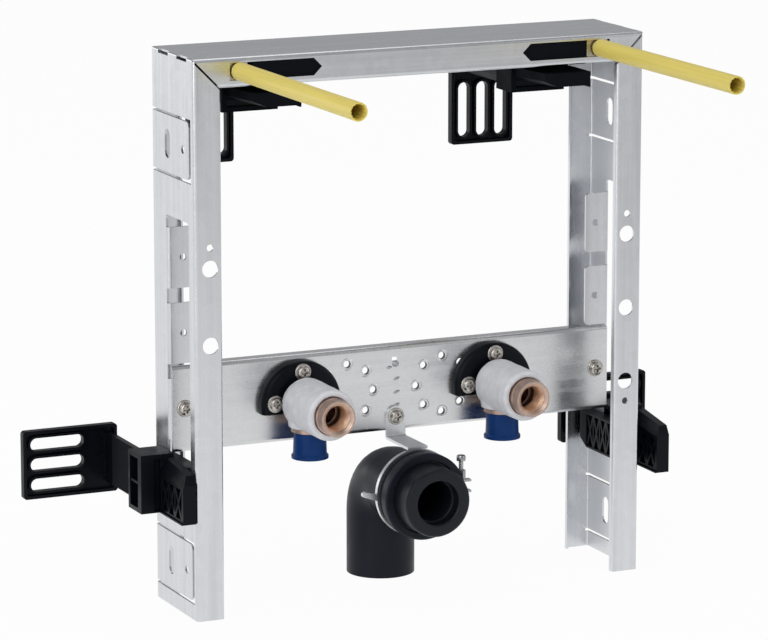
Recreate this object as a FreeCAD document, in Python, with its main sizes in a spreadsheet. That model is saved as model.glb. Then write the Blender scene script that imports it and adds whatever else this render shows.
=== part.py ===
import FreeCAD, Part
import os
import re
import Sketcher
from FreeCAD import Placement, Rotation, Vector

# Washbasin installation frame. Lengths are in millimetres, x runs to the right, y to the wall
# and z up. The posts stand on z = 0, and depths in the sheet count from the frame's front.

SIZES = [
    # bent sheet frame
    ("frame_width", 350, "outside width over both posts"),
    ("frame_height", 400, "height from the feet to the top of the beam"),
    ("frame_depth", 78.5, "front face to rear face of the channel"),
    ("sheet", 1.5, "thickness of the galvanised sheet"),
    ("flange", 21, "width of the front and rear flanges"),
    ("lip", 5, "return lip at the free edge of each flange"),
    ("bend", 1.2, "inside bend radius"),
    ("mitre_gap", 1.6, "gap between the mitred flanges"),
    # cuts in the webs of the posts
    ("tab_height", 43, "height of the side tabs left flat"),
    ("low_tab_z", 33.7, "centre height of the lower side tab"),
    ("high_tab_drop", 65.2, "centre of the upper side tab below the top of the beam"),
    ("slit", 2.2, "width of the slits over and under the side tabs"),
    ("slit_front", 5.5, "front end of those slits from the front"),
    ("front_slit", 3.4, "width of the slit in front of a side tab"),
    ("tab_corner", 4, "corner radius of a side tab"),
    ("oblong_y", 48.8, "distance of the oblong from the front"),
    ("oblong_width", 9.5, "width of the oblong in a side tab"),
    ("oblong_height", 20.5, "height of the oblong in a side tab"),
    ("tab_hole_y", 20, "distance of the round hole from the front"),
    ("tab_hole", 6, "diameter of the round hole in a side tab"),
    ("window_bottom", 83, "lower end of the window in the web"),
    ("window_margin", 9.3, "window above the highest folded tab"),
    ("window_front", 10.3, "front edge of the window from the front"),
    ("window_corner", 3, "corner radius of the window"),
    ("fold_height", 44, "height of a tab folded in from the window"),
    ("fold_pitch", 54.6, "distance between folded tabs"),
    ("fold_reach", 19.5, "length of a folded tab from the outside of the web"),
    ("fold_hole", 5, "hole in a folded tab"),
    ("fold_hole_x", 11.5, "distance of that hole from the outside of the web"),
    ("fold_relief", 2.5, "window behind the front face of the folded tabs"),
    # slits on the fold line at the top corners
    ("corner_slit", 1.6, "width of a corner slit across the fold"),
    ("corner_slit_front", 12, "front end of the first corner slit from the front"),
    ("corner_slit_length", 18.4, "length of a corner slit"),
    ("corner_slit_pitch", 34.3, "distance between the two corner slits"),
    # front flange holes
    ("flange_hole_x", 11.7, "distance of the front holes from the outside of the web"),
    ("large_hole", 12, "large front hole"),
    ("small_hole", 5, "small front hole"),
    ("small_hole_step", 15, "small hole beyond the outermost large hole"),
    # slots of the top beam
    ("rod_inset", 35, "threaded rods inwards from the outside of the posts"),
    ("rod_drop", 10, "threaded rods below the top of the beam"),
    ("rod_slot_height", 12.4, "height of the slots in the top beam"),
    ("rod_slot_run", 62, "slot from the rod to its pointed inner end"),
    ("rod_slot_end", 7.5, "slot from the rod to its outer end"),
    # cross plate
    ("plate_y", 48.3, "front face of the cross plate from the front"),
    ("plate_z", 143.5, "middle height of the cross plate"),
    ("plate_height", 63, "height of the cross plate"),
    ("plate_sheet", 2, "thickness of the cross plate"),
    ("plate_fold", 10, "depth of its top and bottom folds"),
    ("plate_bend", 1, "inside bend radius of those folds"),
    ("seat_gap", 0.3, "clearance between pieces that fit together"),
    ("ring_x", 37.7, "half of the distance between the two hole rings"),
    ("ring_radius", 20.7, "radius of a hole ring"),
    ("ring_hole", 5.5, "hole in a ring"),
    ("strap_screw_rise", 10.8, "middle screw above the lower edge of the cross plate"),
    ("middle_slot_drop", 10, "small rectangular hole below the upper edge of the plate"),
    ("middle_slot_width", 4.5, "width of the small rectangular hole"),
    ("middle_slot_height", 3, "height of the small rectangular hole"),
    ("screw_head", 12.5, "diameter of a flange screw head"),
    ("screw_head_height", 4, "height of a flange screw head"),
    ("screw_shank", 4.6, "diameter of the screw shanks"),
    # tap connectors
    ("tap_x", 76.5, "half of the distance between the tap connectors"),
    ("tap_z", 142.5, "height of the tap connector axis"),
    ("mount_radius", 31, "outer radius of the connector mount"),
    ("mount_fall", 2, "centre of the mount's outline below the tap axis"),
    ("mount_drop", 8, "flat underside of the mount below the tap axis"),
    ("mount_depth", 9, "depth of the mount"),
    ("mount_edge", 4, "rounding of the front edge of the mount"),
    ("mount_screw_radius", 21.5, "pitch radius of the mount screws"),
    ("socket_front", 24, "front of the brass socket before the frame"),
    ("socket_radius", 12.9, "outer radius of the brass socket"),
    ("socket_bore", 19, "bore of the half inch thread"),
    ("socket_bore_depth", 26, "depth of the threaded bore"),
    ("brass_radius", 13.5, "radius of the brass body inside the sleeve"),
    ("sleeve_radius", 18.5, "outer radius of the insulating sleeve"),
    ("sleeve_front", 13.5, "front of the insulating sleeve before the frame"),
    ("inlet_y", 27, "distance of the inlet axis from the front"),
    ("inlet_radius", 11, "radius of the brass inlet below"),
    ("waterway", 8.8, "radius of the waterway through the brass elbow"),
    ("neck_radius", 15.5, "outer radius of the insulation round the inlet"),
    ("collar_radius", 13.5, "radius of the brass collar above the plug"),
    ("collar_top", 126.5, "top of the brass collar"),
    ("plug_top", 123.3, "top of the blue plug"),
    ("plug_bottom", 104, "bottom of the blue plug"),
    ("plug_radius", 11.6, "radius of the blue plug"),
    ("plug_lip", 13.4, "radius of its bottom lip"),
    # waste elbow
    ("waste_y", 73.3, "distance of the vertical leg from the front"),
    ("waste_z", 74.2, "height of the horizontal leg"),
    ("waste_bottom", 1, "underside of the vertical leg above the feet"),
    ("pipe_radius", 25, "outer radius of the waste pipe"),
    ("pipe_wall", 3, "wall of the waste pipe"),
    ("elbow_bend", 27, "radius of the elbow's axis"),
    ("socket_rear", 14, "rear of the waste socket from the front"),
    ("waste_socket_radius", 30, "outer radius of the waste socket"),
    ("waste_rim", 1.8, "height of the rim and beads over the waste socket"),
    ("rim_width", 9, "width of the rim of the waste socket"),
    ("waste_socket_front", -6, "front of the waste socket"),
    ("seal_front", -27.3, "front of the rubber seal"),
    ("seal_bore", 32, "bore of the rubber seal"),
    ("clamp_width", 3.5, "width of the clamp ring"),
    ("clamp_sheet", 1.5, "thickness of the clamp ring"),
    ("hinge_ear", 12.5, "length of the hinge ear at the left of the ring"),
    ("hinge_end", 2, "radius of the rounded end of the hinge ear"),
    ("clamp_ear", 11, "length of the two ears at the right of the ring"),
    ("strap_width", 15.5, "width of the strap"),
    ("strap_sheet", 2, "thickness of the strap"),
    # protective sleeves
    ("tube_radius", 6.4, "outer radius of a protective sleeve"),
    ("tube_wall", 1, "wall of a protective sleeve"),
    ("tube_front", 200, "reach of the sleeves before the frame"),
    ("root_wall", 0.75, "wall of a protective sleeve round its spigot"),
    ("boss_length", 14, "length of the spigot that carries a protective sleeve"),
    ("bush_width", 20, "width of the seat for the slide plate behind a slot"),
    # wall brackets
    ("wall_y", 138, "front rim of the wall plates from the front"),
    ("wall_plate_depth", 6, "depth of a wall plate"),
    ("wall_plate_length", 72.5, "long side of a wall plate"),
    ("wall_plate_width", 50.5, "short side of a wall plate"),
    ("wall_slot_length", 41, "length of a slot in a wall plate"),
    ("wall_slot_width", 9.6, "width of a slot in a wall plate"),
    ("wall_slot_pitch", 15, "distance between the slots"),
    ("wall_slot_margin", 5.5, "plate beyond the outer end of the slots"),
    ("plate_rim", 2.4, "width of the rims round a wall plate and its slots"),
    ("plate_floor", 2.8, "thickness of a wall plate between its rims"),
    ("plate_middle", 19.3, "middle of a wall plate from the underside of its housing"),
    ("arm_width", 37, "height of the toothed arm"),
    ("arm_sheet", 4.5, "thickness of the toothed arm"),
    ("tooth_pitch", 4, "distance between the teeth of the arm"),
    ("tooth_depth", 1, "depth of the teeth of the arm"),
    ("arm_front", 44, "front end of the toothed arm from the front"),
    ("block_depth", 25, "depth of the guide block of a housing"),
    ("block_front", 42, "front of the guide block from the front"),
    ("block_height", 42.5, "height of the guide block"),
    ("block_width", 25, "width of the guide block away from the web"),
    ("block_step", 6.4, "upper guide blocks shallower on their lower side"),
    ("nose_width", 11.2, "thickness of the nose of a housing"),
    ("nose_height", 34.5, "height of a nose behind its front bevel"),
    ("nose_front", 28, "height of the front face of a nose"),
    ("nose_front_bevel", 4, "depth of the bevel over that face"),
    ("nose_chamfer", 5.2, "drop of the bevel along the top of a nose"),
    ("recess_rim", 3.2, "rim round the ribbed recesses"),
    ("recess_floor", 3.4, "wall left behind the ribbed recesses"),
    ("rib", 1.6, "thickness of the ribs in the recesses"),
    ("rib_setback", 0.6, "ribs behind the rim of their recess"),
    ("low_bracket_z", 71.3, "underside of the lower housings"),
    ("high_bracket_step", 27, "middle of the upper wall plates inwards from the rods"),
    ("high_plate_drop", 97.5, "lower edge of the upper wall plates below the top"),
    ("low_plate_edge", 6.5, "inner edge of a lower wall plate beyond its arm"),
    ("high_plate_edge", 14, "upper edge of an upper wall plate beyond its arm"),
    ("clip_front", 20, "front of the clips inside the posts"),
    ("clip_back_gap", 5, "clips inside the posts clear of the rear flange"),
    ("clip_depth", 9.5, "thickness of the clips inside the posts"),
    ("clip_height", 27, "height of the clips inside the posts"),
    ("neck_height", 24, "height of a clip's neck in the window"),
    ("holder_width", 70, "width of the rod holders inside the beam"),
    ("holder_wall", 3, "wall of the rod holders"),
    ("clamp_bolt", 2.8, "radius of the head of the clamp bolt"),
    ("clamp_bolt_length", 30, "length of the clamp bolt"),
    ("clamp_nut_height", 8, "height of the long nut on the clamp bolt"),
    ("clamp_nut_rise", 11, "nut above the lower end of the clamp bolt"),
]

doc = FreeCAD.newDocument("frame")
sheet = doc.addObject("Spreadsheet::Sheet", "Sizes")
for row, (alias, value, meaning) in enumerate(SIZES, start=1):
    sheet.set("A%d" % row, alias)
    sheet.set("B%d" % row, str(value))
    sheet.set("C%d" % row, meaning)
    sheet.setAlias("B%d" % row, alias)
doc.recompute()
ALIASES = {alias for alias, value, meaning in SIZES}

# The turned axes of a cylinder, a pin or a round hole.
ALONG = {
    "x": Rotation(Vector(0, 1, 0), 90),
    "y": Rotation(Vector(1, 0, 0), -90),
    "z": Rotation(),
}
# The pieces are drawn with the front of the frame at y = 0, and then set back so that the
# origin lies under the middle of everything from the sleeves' ends to the wall.
SETBACK = "(tube_front - wall_y - wall_plate_depth) / 2"
# Places that several pieces share.
ROD_X = "(frame_width / 2 - rod_inset)"
ROD_Z = "(frame_height - rod_drop)"
TAB_Y = "(plate_y + plate_sheet)"
CLAMP_Y = "(socket_rear - clamp_width - 1)"
CLAMP_RADIUS = "(waste_socket_radius + seat_gap)"
SPIGOT = "(tube_radius - root_wall - seat_gap)"
SCREW_Z = "(plate_z - plate_height / 2 + strap_screw_rise)"
COLLAR_GAP = "(collar_top + seat_gap)"
# Holes of a ring, and the screws of a connector mount round the tap axis, in degrees.
RING = [45 * number for number in range(8)]
MOUNT_SCREWS = [90, 180, 0]
parts = []


def bound(text):
    """Points every size named in a formula at its cell in the sheet."""
    def cell(match):
        word = match.group(0)
        return "Sizes." + word if word in ALIASES else word
    return re.sub(r"[a-z][a-z_]*", cell, str(text))


def value(text):
    """Works a formula out to a number."""
    return float(sheet.evalExpression(bound(text)))


def place(item, point):
    for axis, formula in zip("xyz", point):
        item.setExpression("Placement.Base." + axis, bound(formula))


def box(name, corner, size):
    item = doc.addObject("Part::Box", name)
    for side, formula in zip(("Length", "Width", "Height"), size):
        item.setExpression(side, bound(formula))
    place(item, corner)
    return item


def block(name, low, high):
    """A box from its lowest corner to its highest corner."""
    size = ["(%s) - (%s)" % (b, a) for a, b in zip(low, high)]
    return box(name, low, size)


def cylinder(name, along, base, radius, length):
    item = doc.addObject("Part::Cylinder", name)
    item.Placement = Placement(Vector(), ALONG[along])
    item.setExpression("Radius", bound(radius))
    item.setExpression("Height", bound(length))
    place(item, base)
    return item


def fuse(name, pieces):
    item = doc.addObject("Part::MultiFuse", name)
    item.Shapes = pieces
    return item


def cut(name, base, tools):
    tool = tools[0] if len(tools) == 1 else fuse(name + "_tools", tools)
    item = doc.addObject("Part::Cut", name)
    item.Base = base
    item.Tool = tool
    return item


def part(name, item):
    """Names a finished piece, whose label is its node's name, and sets it back in y."""
    item.Label = name
    item.setExpression("Placement.Base.y", bound(SETBACK))
    parts.append(item)
    return item


def origin_plane(body, role):
    return [plane for plane in body.Origin.OriginFeatures if plane.Role == role][0]


def sketch_on(body, role, offset):
    """A sketch on an origin plane of its body, moved by three formulas in the sketch's axes."""
    sketch = body.newObject("Sketcher::SketchObject", body.Name + "_sketch")
    sketch.AttachmentSupport = [(origin_plane(body, role), "")]
    sketch.MapMode = "FlatFace"
    for axis, formula in zip("xyz", offset):
        sketch.setExpression("AttachmentOffset.Base." + axis, bound(formula))
    return sketch


def outline(sketch, points):
    """A closed outline of straight lines, each corner held by two bound distances."""
    spots = [Vector(value(a), value(b), 0) for a, b in points]
    for start, end in zip(spots, spots[1:] + spots[:1]):
        sketch.addGeometry(Part.LineSegment(start, end), False)
    count = len(points)
    for index in range(count):
        sketch.addConstraint(
            Sketcher.Constraint("Coincident", index, 2, (index + 1) % count, 1))
    for index, (a, b) in enumerate(points):
        for kind, formula in (("DistanceX", a), ("DistanceY", b)):
            held = Sketcher.Constraint(kind, -1, 1, index, 1, value(formula))
            name = "%s%d" % (kind[-1].lower() + "_of_corner_", index + 1)
            number = sketch.addConstraint(held)
            sketch.renameConstraint(number, name)
            sketch.setExpression("Constraints." + name, bound(formula))


def extrusion(name, role, points, start, length):
    """A straight body: up from XY, to the wall from XZ and to the right from YZ."""
    body = doc.addObject("PartDesign::Body", name)
    back = role == "XZ_Plane"
    offset = "-(%s)" % start if back else start
    sketch = sketch_on(body, role, (0, 0, offset))
    outline(sketch, points)
    pad = body.newObject("PartDesign::Pad", name + "_pad")
    pad.Profile = sketch
    pad.Reversed = back
    pad.setExpression("Length", bound(length))
    sketch.Visibility = False
    return body


def turned(name, along, centre, points):
    """A body of revolution. Points are (distance along the axis, radius)."""
    body = doc.addObject("PartDesign::Body", name)
    x, y, z = centre
    if along == "y":
        sketch = sketch_on(body, "YZ_Plane", (y, z, x))
        outline(sketch, points)
        axis = "H_Axis"
    else:
        sketch = sketch_on(body, "XZ_Plane", (x, z, "-(%s)" % y))
        outline(sketch, [(radius, distance) for distance, radius in points])
        axis = "V_Axis"
    turn = body.newObject("PartDesign::Revolution", name + "_turn")
    turn.Profile = sketch
    turn.ReferenceAxis = (sketch, [axis])
    turn.Angle = 360
    sketch.Visibility = False
    return body


def rounded(body, name, radius, wanted):
    """Rounds the edges of a body that a test picks by their middle point and direction."""
    doc.recompute()
    solid = body.Tip
    edges = []
    for number, edge in enumerate(solid.Shape.Edges, start=1):
        middle = edge.valueAt((edge.FirstParameter + edge.LastParameter) / 2)
        if wanted(edge, middle):
            edges.append("Edge%d" % number)
    fillet = body.newObject("PartDesign::Fillet", name)
    fillet.Base = (solid, edges)
    fillet.setExpression("Radius", bound(radius))
    return body


def runs_along(edge, axis):
    ends = [vertex.Point for vertex in edge.Vertexes]
    if len(ends) < 2:
        return False
    run = ends[1] - ends[0]
    return abs(abs(run.dot(axis)) - run.Length) < 1e-6 and run.Length > 1e-6


def oblong(name, along, centre, width, height, depth):
    """A round-ended hole, tall in z, through a wall across x or y."""
    x, y, z = centre
    radius = "(%s) / 2" % width
    reach = "((%s) - (%s)) / 2" % (height, width)
    low = "(%s) - %s" % (z, reach)
    ends = []
    for label, level in (("low", low), ("high", "(%s) + %s" % (z, reach))):
        ends.append(cylinder(name + "_" + label, along, (x, y, level), radius, depth))
    if along == "x":
        middle = box(name + "_middle", (x, "(%s) - %s" % (y, radius), low),
                     (depth, width, "2 * " + reach))
    else:
        middle = box(name + "_middle", ("(%s) - %s" % (x, radius), y, low),
                     (width, depth, "2 * " + reach))
    return fuse(name, ends + [middle])


def channel_points(side):
    """Section of the bent channel: web at the outside, flanges with lips turned in."""
    web = "frame_width / 2"
    free = "(frame_width / 2 - flange)"
    corners = [
        (web, "0"), (free, "0"), (free, "lip"), (free + " + sheet", "lip"),
        (free + " + sheet", "sheet"), (web + " - sheet", "sheet"),
        (web + " - sheet", "frame_depth - sheet"),
        (free + " + sheet", "frame_depth - sheet"),
        (free + " + sheet", "frame_depth - lip"), (free, "frame_depth - lip"),
        (free, "frame_depth"), (web, "frame_depth"),
    ]
    return [("%d * (%s)" % (side, across), depth) for across, depth in corners]


def bend_test(axis, across, edges_at):
    """Finds the long edges of a channel whose position is in a list."""
    def test(edge, middle):
        if not runs_along(edge, axis):
            return False
        spot = (abs(across(middle)), middle.y)
        return any(abs(spot[0] - a) + abs(spot[1] - b) < 0.01 for a, b in edges_at)
    return test


def bent(body, axis, across, web, free):
    """Rounds the outsides and the insides of the bends of a channel."""
    depth = value("frame_depth")
    thick = value("sheet")
    outer = [(web, 0), (web, depth), (free, 0), (free, depth)]
    toward = 1 if web > free else -1
    inner = [(web - toward * thick, thick), (web - toward * thick, depth - thick),
             (free + toward * thick, thick), (free + toward * thick, depth - thick)]
    rounded(body, body.Name + "_outer_bends", "bend + sheet", bend_test(axis, across, outer))
    rounded(body, body.Name + "_inner_bends", "bend", bend_test(axis, across, inner))
    return body


def post(name, side):
    body = extrusion(name + "_channel", "XY_Plane", channel_points(side), 0,
                     "frame_height - sheet")
    half = value("frame_width / 2")
    bent(body, Vector(0, 0, 1), lambda spot: spot.x, half, half - value("flange"))
    tools = [mitre_tool(name + "_mitre", side, False)]
    tools += side_tab_cuts(name, side)
    tools += window_cuts(name, side)
    tools += flange_holes(name, side)
    tools += corner_slits(name, side)
    bare = cut(name + "_cut", body, tools)
    tabs = folded_tabs(name, side)
    return part(name, fuse(name, [bare] + tabs))


def mitre_tool(name, side, beam):
    """The wedge taken off the flanges at 45 degrees, on one side of the mitre line."""
    inside = "(frame_width / 2 - sheet)"
    top = "(frame_height - sheet)"
    reach = "(flange + bend)"
    gap = "mitre_gap * sqrt(2)"
    if beam:
        points = [(inside, top), ("frame_width / 2 + 1", top),
                  ("frame_width / 2 + 1", top + " - " + reach + " - 5"),
                  (inside + " - " + reach, top + " - " + reach + " - 5"),
                  (inside + " - " + reach, top + " - " + reach)]
    else:
        points = [(inside, top + " - " + gap), (inside, top + " + 1"),
                  (inside + " - " + reach, top + " + 1"),
                  (inside + " - " + reach, top + " - " + reach + " - " + gap)]
    points = [("%d * (%s)" % (side, a), b) for a, b in points]
    return extrusion(name, "XZ_Plane", points, -1, "frame_depth + 2")


def through_web(side, inner="sheet + 0.5"):
    """Start and length, in x, of a cut through the web of a post."""
    if side < 0:
        return "-frame_width / 2 - 0.5", inner + " + 0.5"
    return "frame_width / 2 - (%s)" % inner, inner + " + 0.5"


def side_tab_cuts(name, side):
    """Slits round the two side tabs that stay flat, with their oblong and round holes."""
    start, length = through_web(side)
    deep_start, deep_length = through_web(side, "sheet + bend + 0.8")
    half = "tab_height / 2"
    tab_front = "slit_front + front_slit"
    tools = []
    for label, middle in (("low", "low_tab_z"), ("high", "(frame_height - high_tab_drop)")):
        stem = "%s_%s_tab" % (name, label)
        around = box(stem + "_around", (deep_start, "slit_front", middle + " - " + half + " - slit / 2"),
                     (deep_length, "frame_depth - slit_front + 1", "tab_height + slit"))
        rear = "frame_depth + 2"
        tab = extrusion(stem, "YZ_Plane", [
            (tab_front, middle + " - " + half + " + slit / 2"),
            (rear, middle + " - " + half + " + slit / 2"),
            (rear, middle + " + " + half + " - slit / 2"),
            (tab_front, middle + " + " + half + " - slit / 2")],
            deep_start + " - 1", deep_length + " + 2")
        front_y = value(tab_front)
        rounded(tab, stem + "_corners", "tab_corner",
                lambda edge, middle: runs_along(edge, Vector(1, 0, 0))
                and abs(middle.y - front_y) < 0.01)
        tools.append(cut(stem + "_slits", around, [tab]))
        tools.append(oblong(stem + "_oblong", "x", (start, "oblong_y", middle),
                            "oblong_width", "oblong_height", length))
        tools.append(cylinder(stem + "_hole", "x", (start, "tab_hole_y", middle),
                              "tab_hole / 2", length))
    return tools


def window_cuts(name, side):
    start, length = through_web(side)
    rear = TAB_Y + " + fold_relief"
    top = "plate_z + 2 * fold_pitch + fold_height / 2 + window_margin"
    body = extrusion(name + "_window", "YZ_Plane", [
        ("window_front", "window_bottom"), (rear, "window_bottom"),
        (rear, top), ("window_front", top)], start, length)
    rounded(body, name + "_window_corners", "window_corner",
            lambda edge, middle: runs_along(edge, Vector(1, 0, 0)))
    return [body]


def corner_slits(name, side):
    """Two slits along the fold between a post and the beam."""
    start, length = through_web(side, "corner_slit")
    tools = []
    for number in range(2):
        tools.append(box("%s_corner_slit_%d" % (name, number + 1), (
            start, "corner_slit_front + %d * corner_slit_pitch" % number,
            "frame_height - sheet - corner_slit"),
            (length, "corner_slit_length", "sheet + corner_slit + 1")))
    return tools


def flange_holes(name, side):
    """Holes in the front flange, level with the folded tabs. The left post lacks the lowest."""
    x = "%d * (frame_width / 2 - flange_hole_x)" % side
    lowest = 1 if side < 0 else 0
    levels = [("plate_z + %d * fold_pitch" % step, "large_hole") for step in range(lowest, 3)]
    levels.append(("plate_z + 2 * fold_pitch + small_hole_step", "small_hole"))
    if side > 0:
        levels.append(("plate_z - small_hole_step", "small_hole"))
    holes = []
    for number, (level, width) in enumerate(levels, start=1):
        holes.append(cylinder("%s_hole_%d" % (name, number), "y", (x, -1, level),
                              width + " / 2", "sheet + 2"))
    return holes


def folded_tabs(name, side):
    """Tabs cut from the window and folded in behind the plane of the cross plate."""
    web = "frame_width / 2"
    free = "(frame_width / 2 - fold_reach)"
    root = TAB_Y + " + fold_relief + 1"
    profile = [(web, TAB_Y), (free, TAB_Y), (free, TAB_Y + " + sheet"),
               (web + " - sheet", TAB_Y + " + sheet"), (web + " - sheet", root), (web, root)]
    profile = [("%d * (%s)" % (side, across), depth) for across, depth in profile]
    half = value(web)
    outer = [(half, value(TAB_Y))]
    inner = [(half - value("sheet"), value(TAB_Y + " + sheet"))]
    upright = Vector(0, 0, 1)
    tabs = []
    for number in range(3):
        level = "plate_z + %d * fold_pitch" % number
        stem = "%s_fold_%d" % (name, number + 1)
        body = extrusion(stem, "XY_Plane", profile, level + " - fold_height / 2", "fold_height")
        rounded(body, stem + "_outer_bend", "bend + sheet",
                bend_test(upright, lambda spot: spot.x, outer))
        rounded(body, stem + "_inner_bend", "bend",
                bend_test(upright, lambda spot: spot.x, inner))
        edge_x = side * value(free)
        rounded(body, stem + "_corners", "window_corner",
                lambda edge, middle: runs_along(edge, Vector(0, 1, 0))
                and abs(middle.x - edge_x) < 0.01)
        hole_x = "%d * (frame_width / 2 - fold_hole_x)" % side
        hole = cylinder(stem + "_bore", "y", (hole_x, TAB_Y + " - 1", level),
                        "fold_hole / 2", "sheet + 2")
        tabs.append(cut(stem + "_bored", body, [hole]))
    return tabs


def top_beam():
    half = "frame_width / 2"
    top = "frame_height"
    free = "(frame_height - flange)"
    corners = [
        ("0", top), ("0", free), ("lip", free), ("lip", free + " + sheet"),
        ("sheet", free + " + sheet"), ("sheet", top + " - sheet"),
        ("frame_depth - sheet", top + " - sheet"),
        ("frame_depth - sheet", free + " + sheet"),
        ("frame_depth - lip", free + " + sheet"), ("frame_depth - lip", free),
        ("frame_depth", free), ("frame_depth", top),
    ]
    body = extrusion("top_channel", "YZ_Plane", corners, "-" + half, "frame_width")
    high = value(top)
    bent(body, Vector(1, 0, 0), lambda spot: spot.z, high, high - value("flange"))
    rounded(body, "top_channel_ends", "sheet * 0.9",
            lambda edge, middle: runs_along(edge, Vector(0, 1, 0))
            and abs(middle.z - high) < 0.01)
    tools = []
    for label, side in (("left", -1), ("right", 1)):
        tools.append(mitre_tool("beam_mitre_" + label, side, True))
        tools.append(rod_slot("rod_slot_" + label, side))
        tools += corner_slits("beam_" + label, side)
    return part("top_beam", cut("top_beam", body, tools))


def rod_slot(name, side):
    """A slot for a threaded rod, with a pointed inner end."""
    half = "rod_slot_height / 2"
    tip = "(%s - rod_slot_run)" % ROD_X
    end = "(%s + rod_slot_end)" % ROD_X
    points = [(tip, ROD_Z), (tip + " + " + half, ROD_Z + " - " + half),
              (end, ROD_Z + " - " + half), (end, ROD_Z + " + " + half),
              (tip + " + " + half, ROD_Z + " + " + half)]
    points = [("%d * (%s)" % (side, across), level) for across, level in points]
    return extrusion(name, "XZ_Plane", points, -1, "sheet + 2")


def cross_plate():
    half = "(frame_width / 2 - sheet - seat_gap)"
    low = "(plate_z - plate_height / 2)"
    high = "(plate_z + plate_height / 2)"
    rear = "plate_y + plate_fold"
    body = extrusion("plate_channel", "YZ_Plane", [
        ("plate_y", low), (rear, low), (rear, low + " + plate_sheet"),
        (TAB_Y, low + " + plate_sheet"), (TAB_Y, high + " - plate_sheet"),
        (rear, high + " - plate_sheet"), (rear, high), ("plate_y", high)],
        "-" + half, "2 * " + half)
    level = Vector(1, 0, 0)
    outer = [(value(z), value("plate_y")) for z in (low, high)]
    inner = [(value(z), value(TAB_Y)) for z in (low + " + plate_sheet", high + " - plate_sheet")]
    rounded(body, "plate_outer_bends", "plate_bend + plate_sheet",
            bend_test(level, lambda spot: spot.z, outer))
    rounded(body, "plate_inner_bends", "plate_bend",
            bend_test(level, lambda spot: spot.z, inner))
    return part("cross_plate", cut("cross_plate", body, plate_cuts(half, low, high, rear)))


def plate_cuts(half, low, high, rear):
    """Folds cut back beside the posts, hole rings, screw holes and the middle slot."""
    short = "(frame_width / 2 - fold_reach - 2)"
    start = "plate_y - 1"
    tools = []
    for label, side in (("left", -1), ("right", 1)):
        ends = [short, half + " + 1"]
        if side < 0:
            ends = ["-(%s)" % end for end in reversed(ends)]
        tools.append(block("plate_end_" + label, (ends[0], TAB_Y, low + " - 1"),
                           (ends[1], rear + " + 1", high + " + 1")))
        for number, angle in enumerate(RING, start=1):
            tools.append(cylinder("ring_%s_%d" % (label, number), "y", (
                "%d * ring_x + ring_radius * cos(%d)" % (side, angle), start,
                "plate_z + ring_radius * sin(%d)" % angle),
                "ring_hole / 2", "plate_sheet + 2"))
        tools.append(cylinder("end_hole_" + label, "y", (
            "%d * (frame_width / 2 - fold_hole_x)" % side, start, "plate_z"),
            "screw_shank / 2 + seat_gap", "plate_sheet + 2"))
        for number, angle in enumerate(MOUNT_SCREWS, start=1):
            tools.append(cylinder("mount_hole_%s_%d" % (label, number), "y", (
                "%d * tap_x + mount_screw_radius * cos(%d)" % (side, angle), start,
                "tap_z + mount_screw_radius * sin(%d)" % angle),
                "screw_shank / 2 + seat_gap", "plate_sheet + 2"))
    tools.append(cylinder("middle_hole", "y", (0, start, SCREW_Z),
                          "screw_shank / 2 + seat_gap", "plate_sheet + 2"))
    tools.append(box("middle_slot", ("-middle_slot_width / 2", start,
                                     high + " - middle_slot_drop - middle_slot_height / 2"),
                     ("middle_slot_width", "plate_sheet + 2", "middle_slot_height")))
    return tools


def screw(name, x, front, z, length):
    """A flange screw: domed hexagon over a washer face, with a shank to the wall."""
    head = "screw_head_height"
    profile = [("0", "0"), ("0", "screw_head * 0.3"), (head + " * 0.25", "screw_head * 0.36"),
               (head + " * 0.62", "screw_head * 0.36"), (head + " * 0.7", "screw_head / 2"),
               (head, "screw_head / 2"), (head, "screw_shank / 2"),
               (head + " + " + length, "screw_shank / 2"), (head + " + " + length, "0")]
    return turned(name, "y", (x, "(%s) - screw_head_height" % front, z), profile)


def plate_screws():
    for label, side in (("left", -1), ("right", 1)):
        x = "%d * (frame_width / 2 - fold_hole_x)" % side
        part("end_screw_" + label,
             screw("end_screw_" + label, x, "plate_y", "plate_z", "plate_sheet + 5"))


def tap_connector(label, side):
    """Horseshoe mount, brass elbow, insulating sleeve, mount screws and blue plug."""
    x = "%d * tap_x" % side
    mount(label, x)
    brass(label, x)
    insulation(label, x)
    front = "plate_y - mount_depth"
    screws = []
    for number, angle in enumerate(MOUNT_SCREWS, start=1):
        screws.append(screw("%s_mount_screw_%d" % (label, number),
                            "%s + mount_screw_radius * cos(%d)" % (x, angle), front,
                            "tap_z + mount_screw_radius * sin(%d)" % angle,
                            "mount_depth + plate_sheet + 3"))
    part(label + "_mount_screws", fuse(label + "_mount_screws", screws))
    part(label + "_plug", turned(label + "_plug", "z", (x, "inlet_y", 0), [
        ("plug_bottom", "0"), ("plug_bottom", "plug_lip"),
        ("plug_bottom + 2", "plug_lip"), ("plug_bottom + 3.5", "plug_radius + 0.6"),
        ("plug_top", "plug_radius"), ("plug_top", "0")]))


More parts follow.
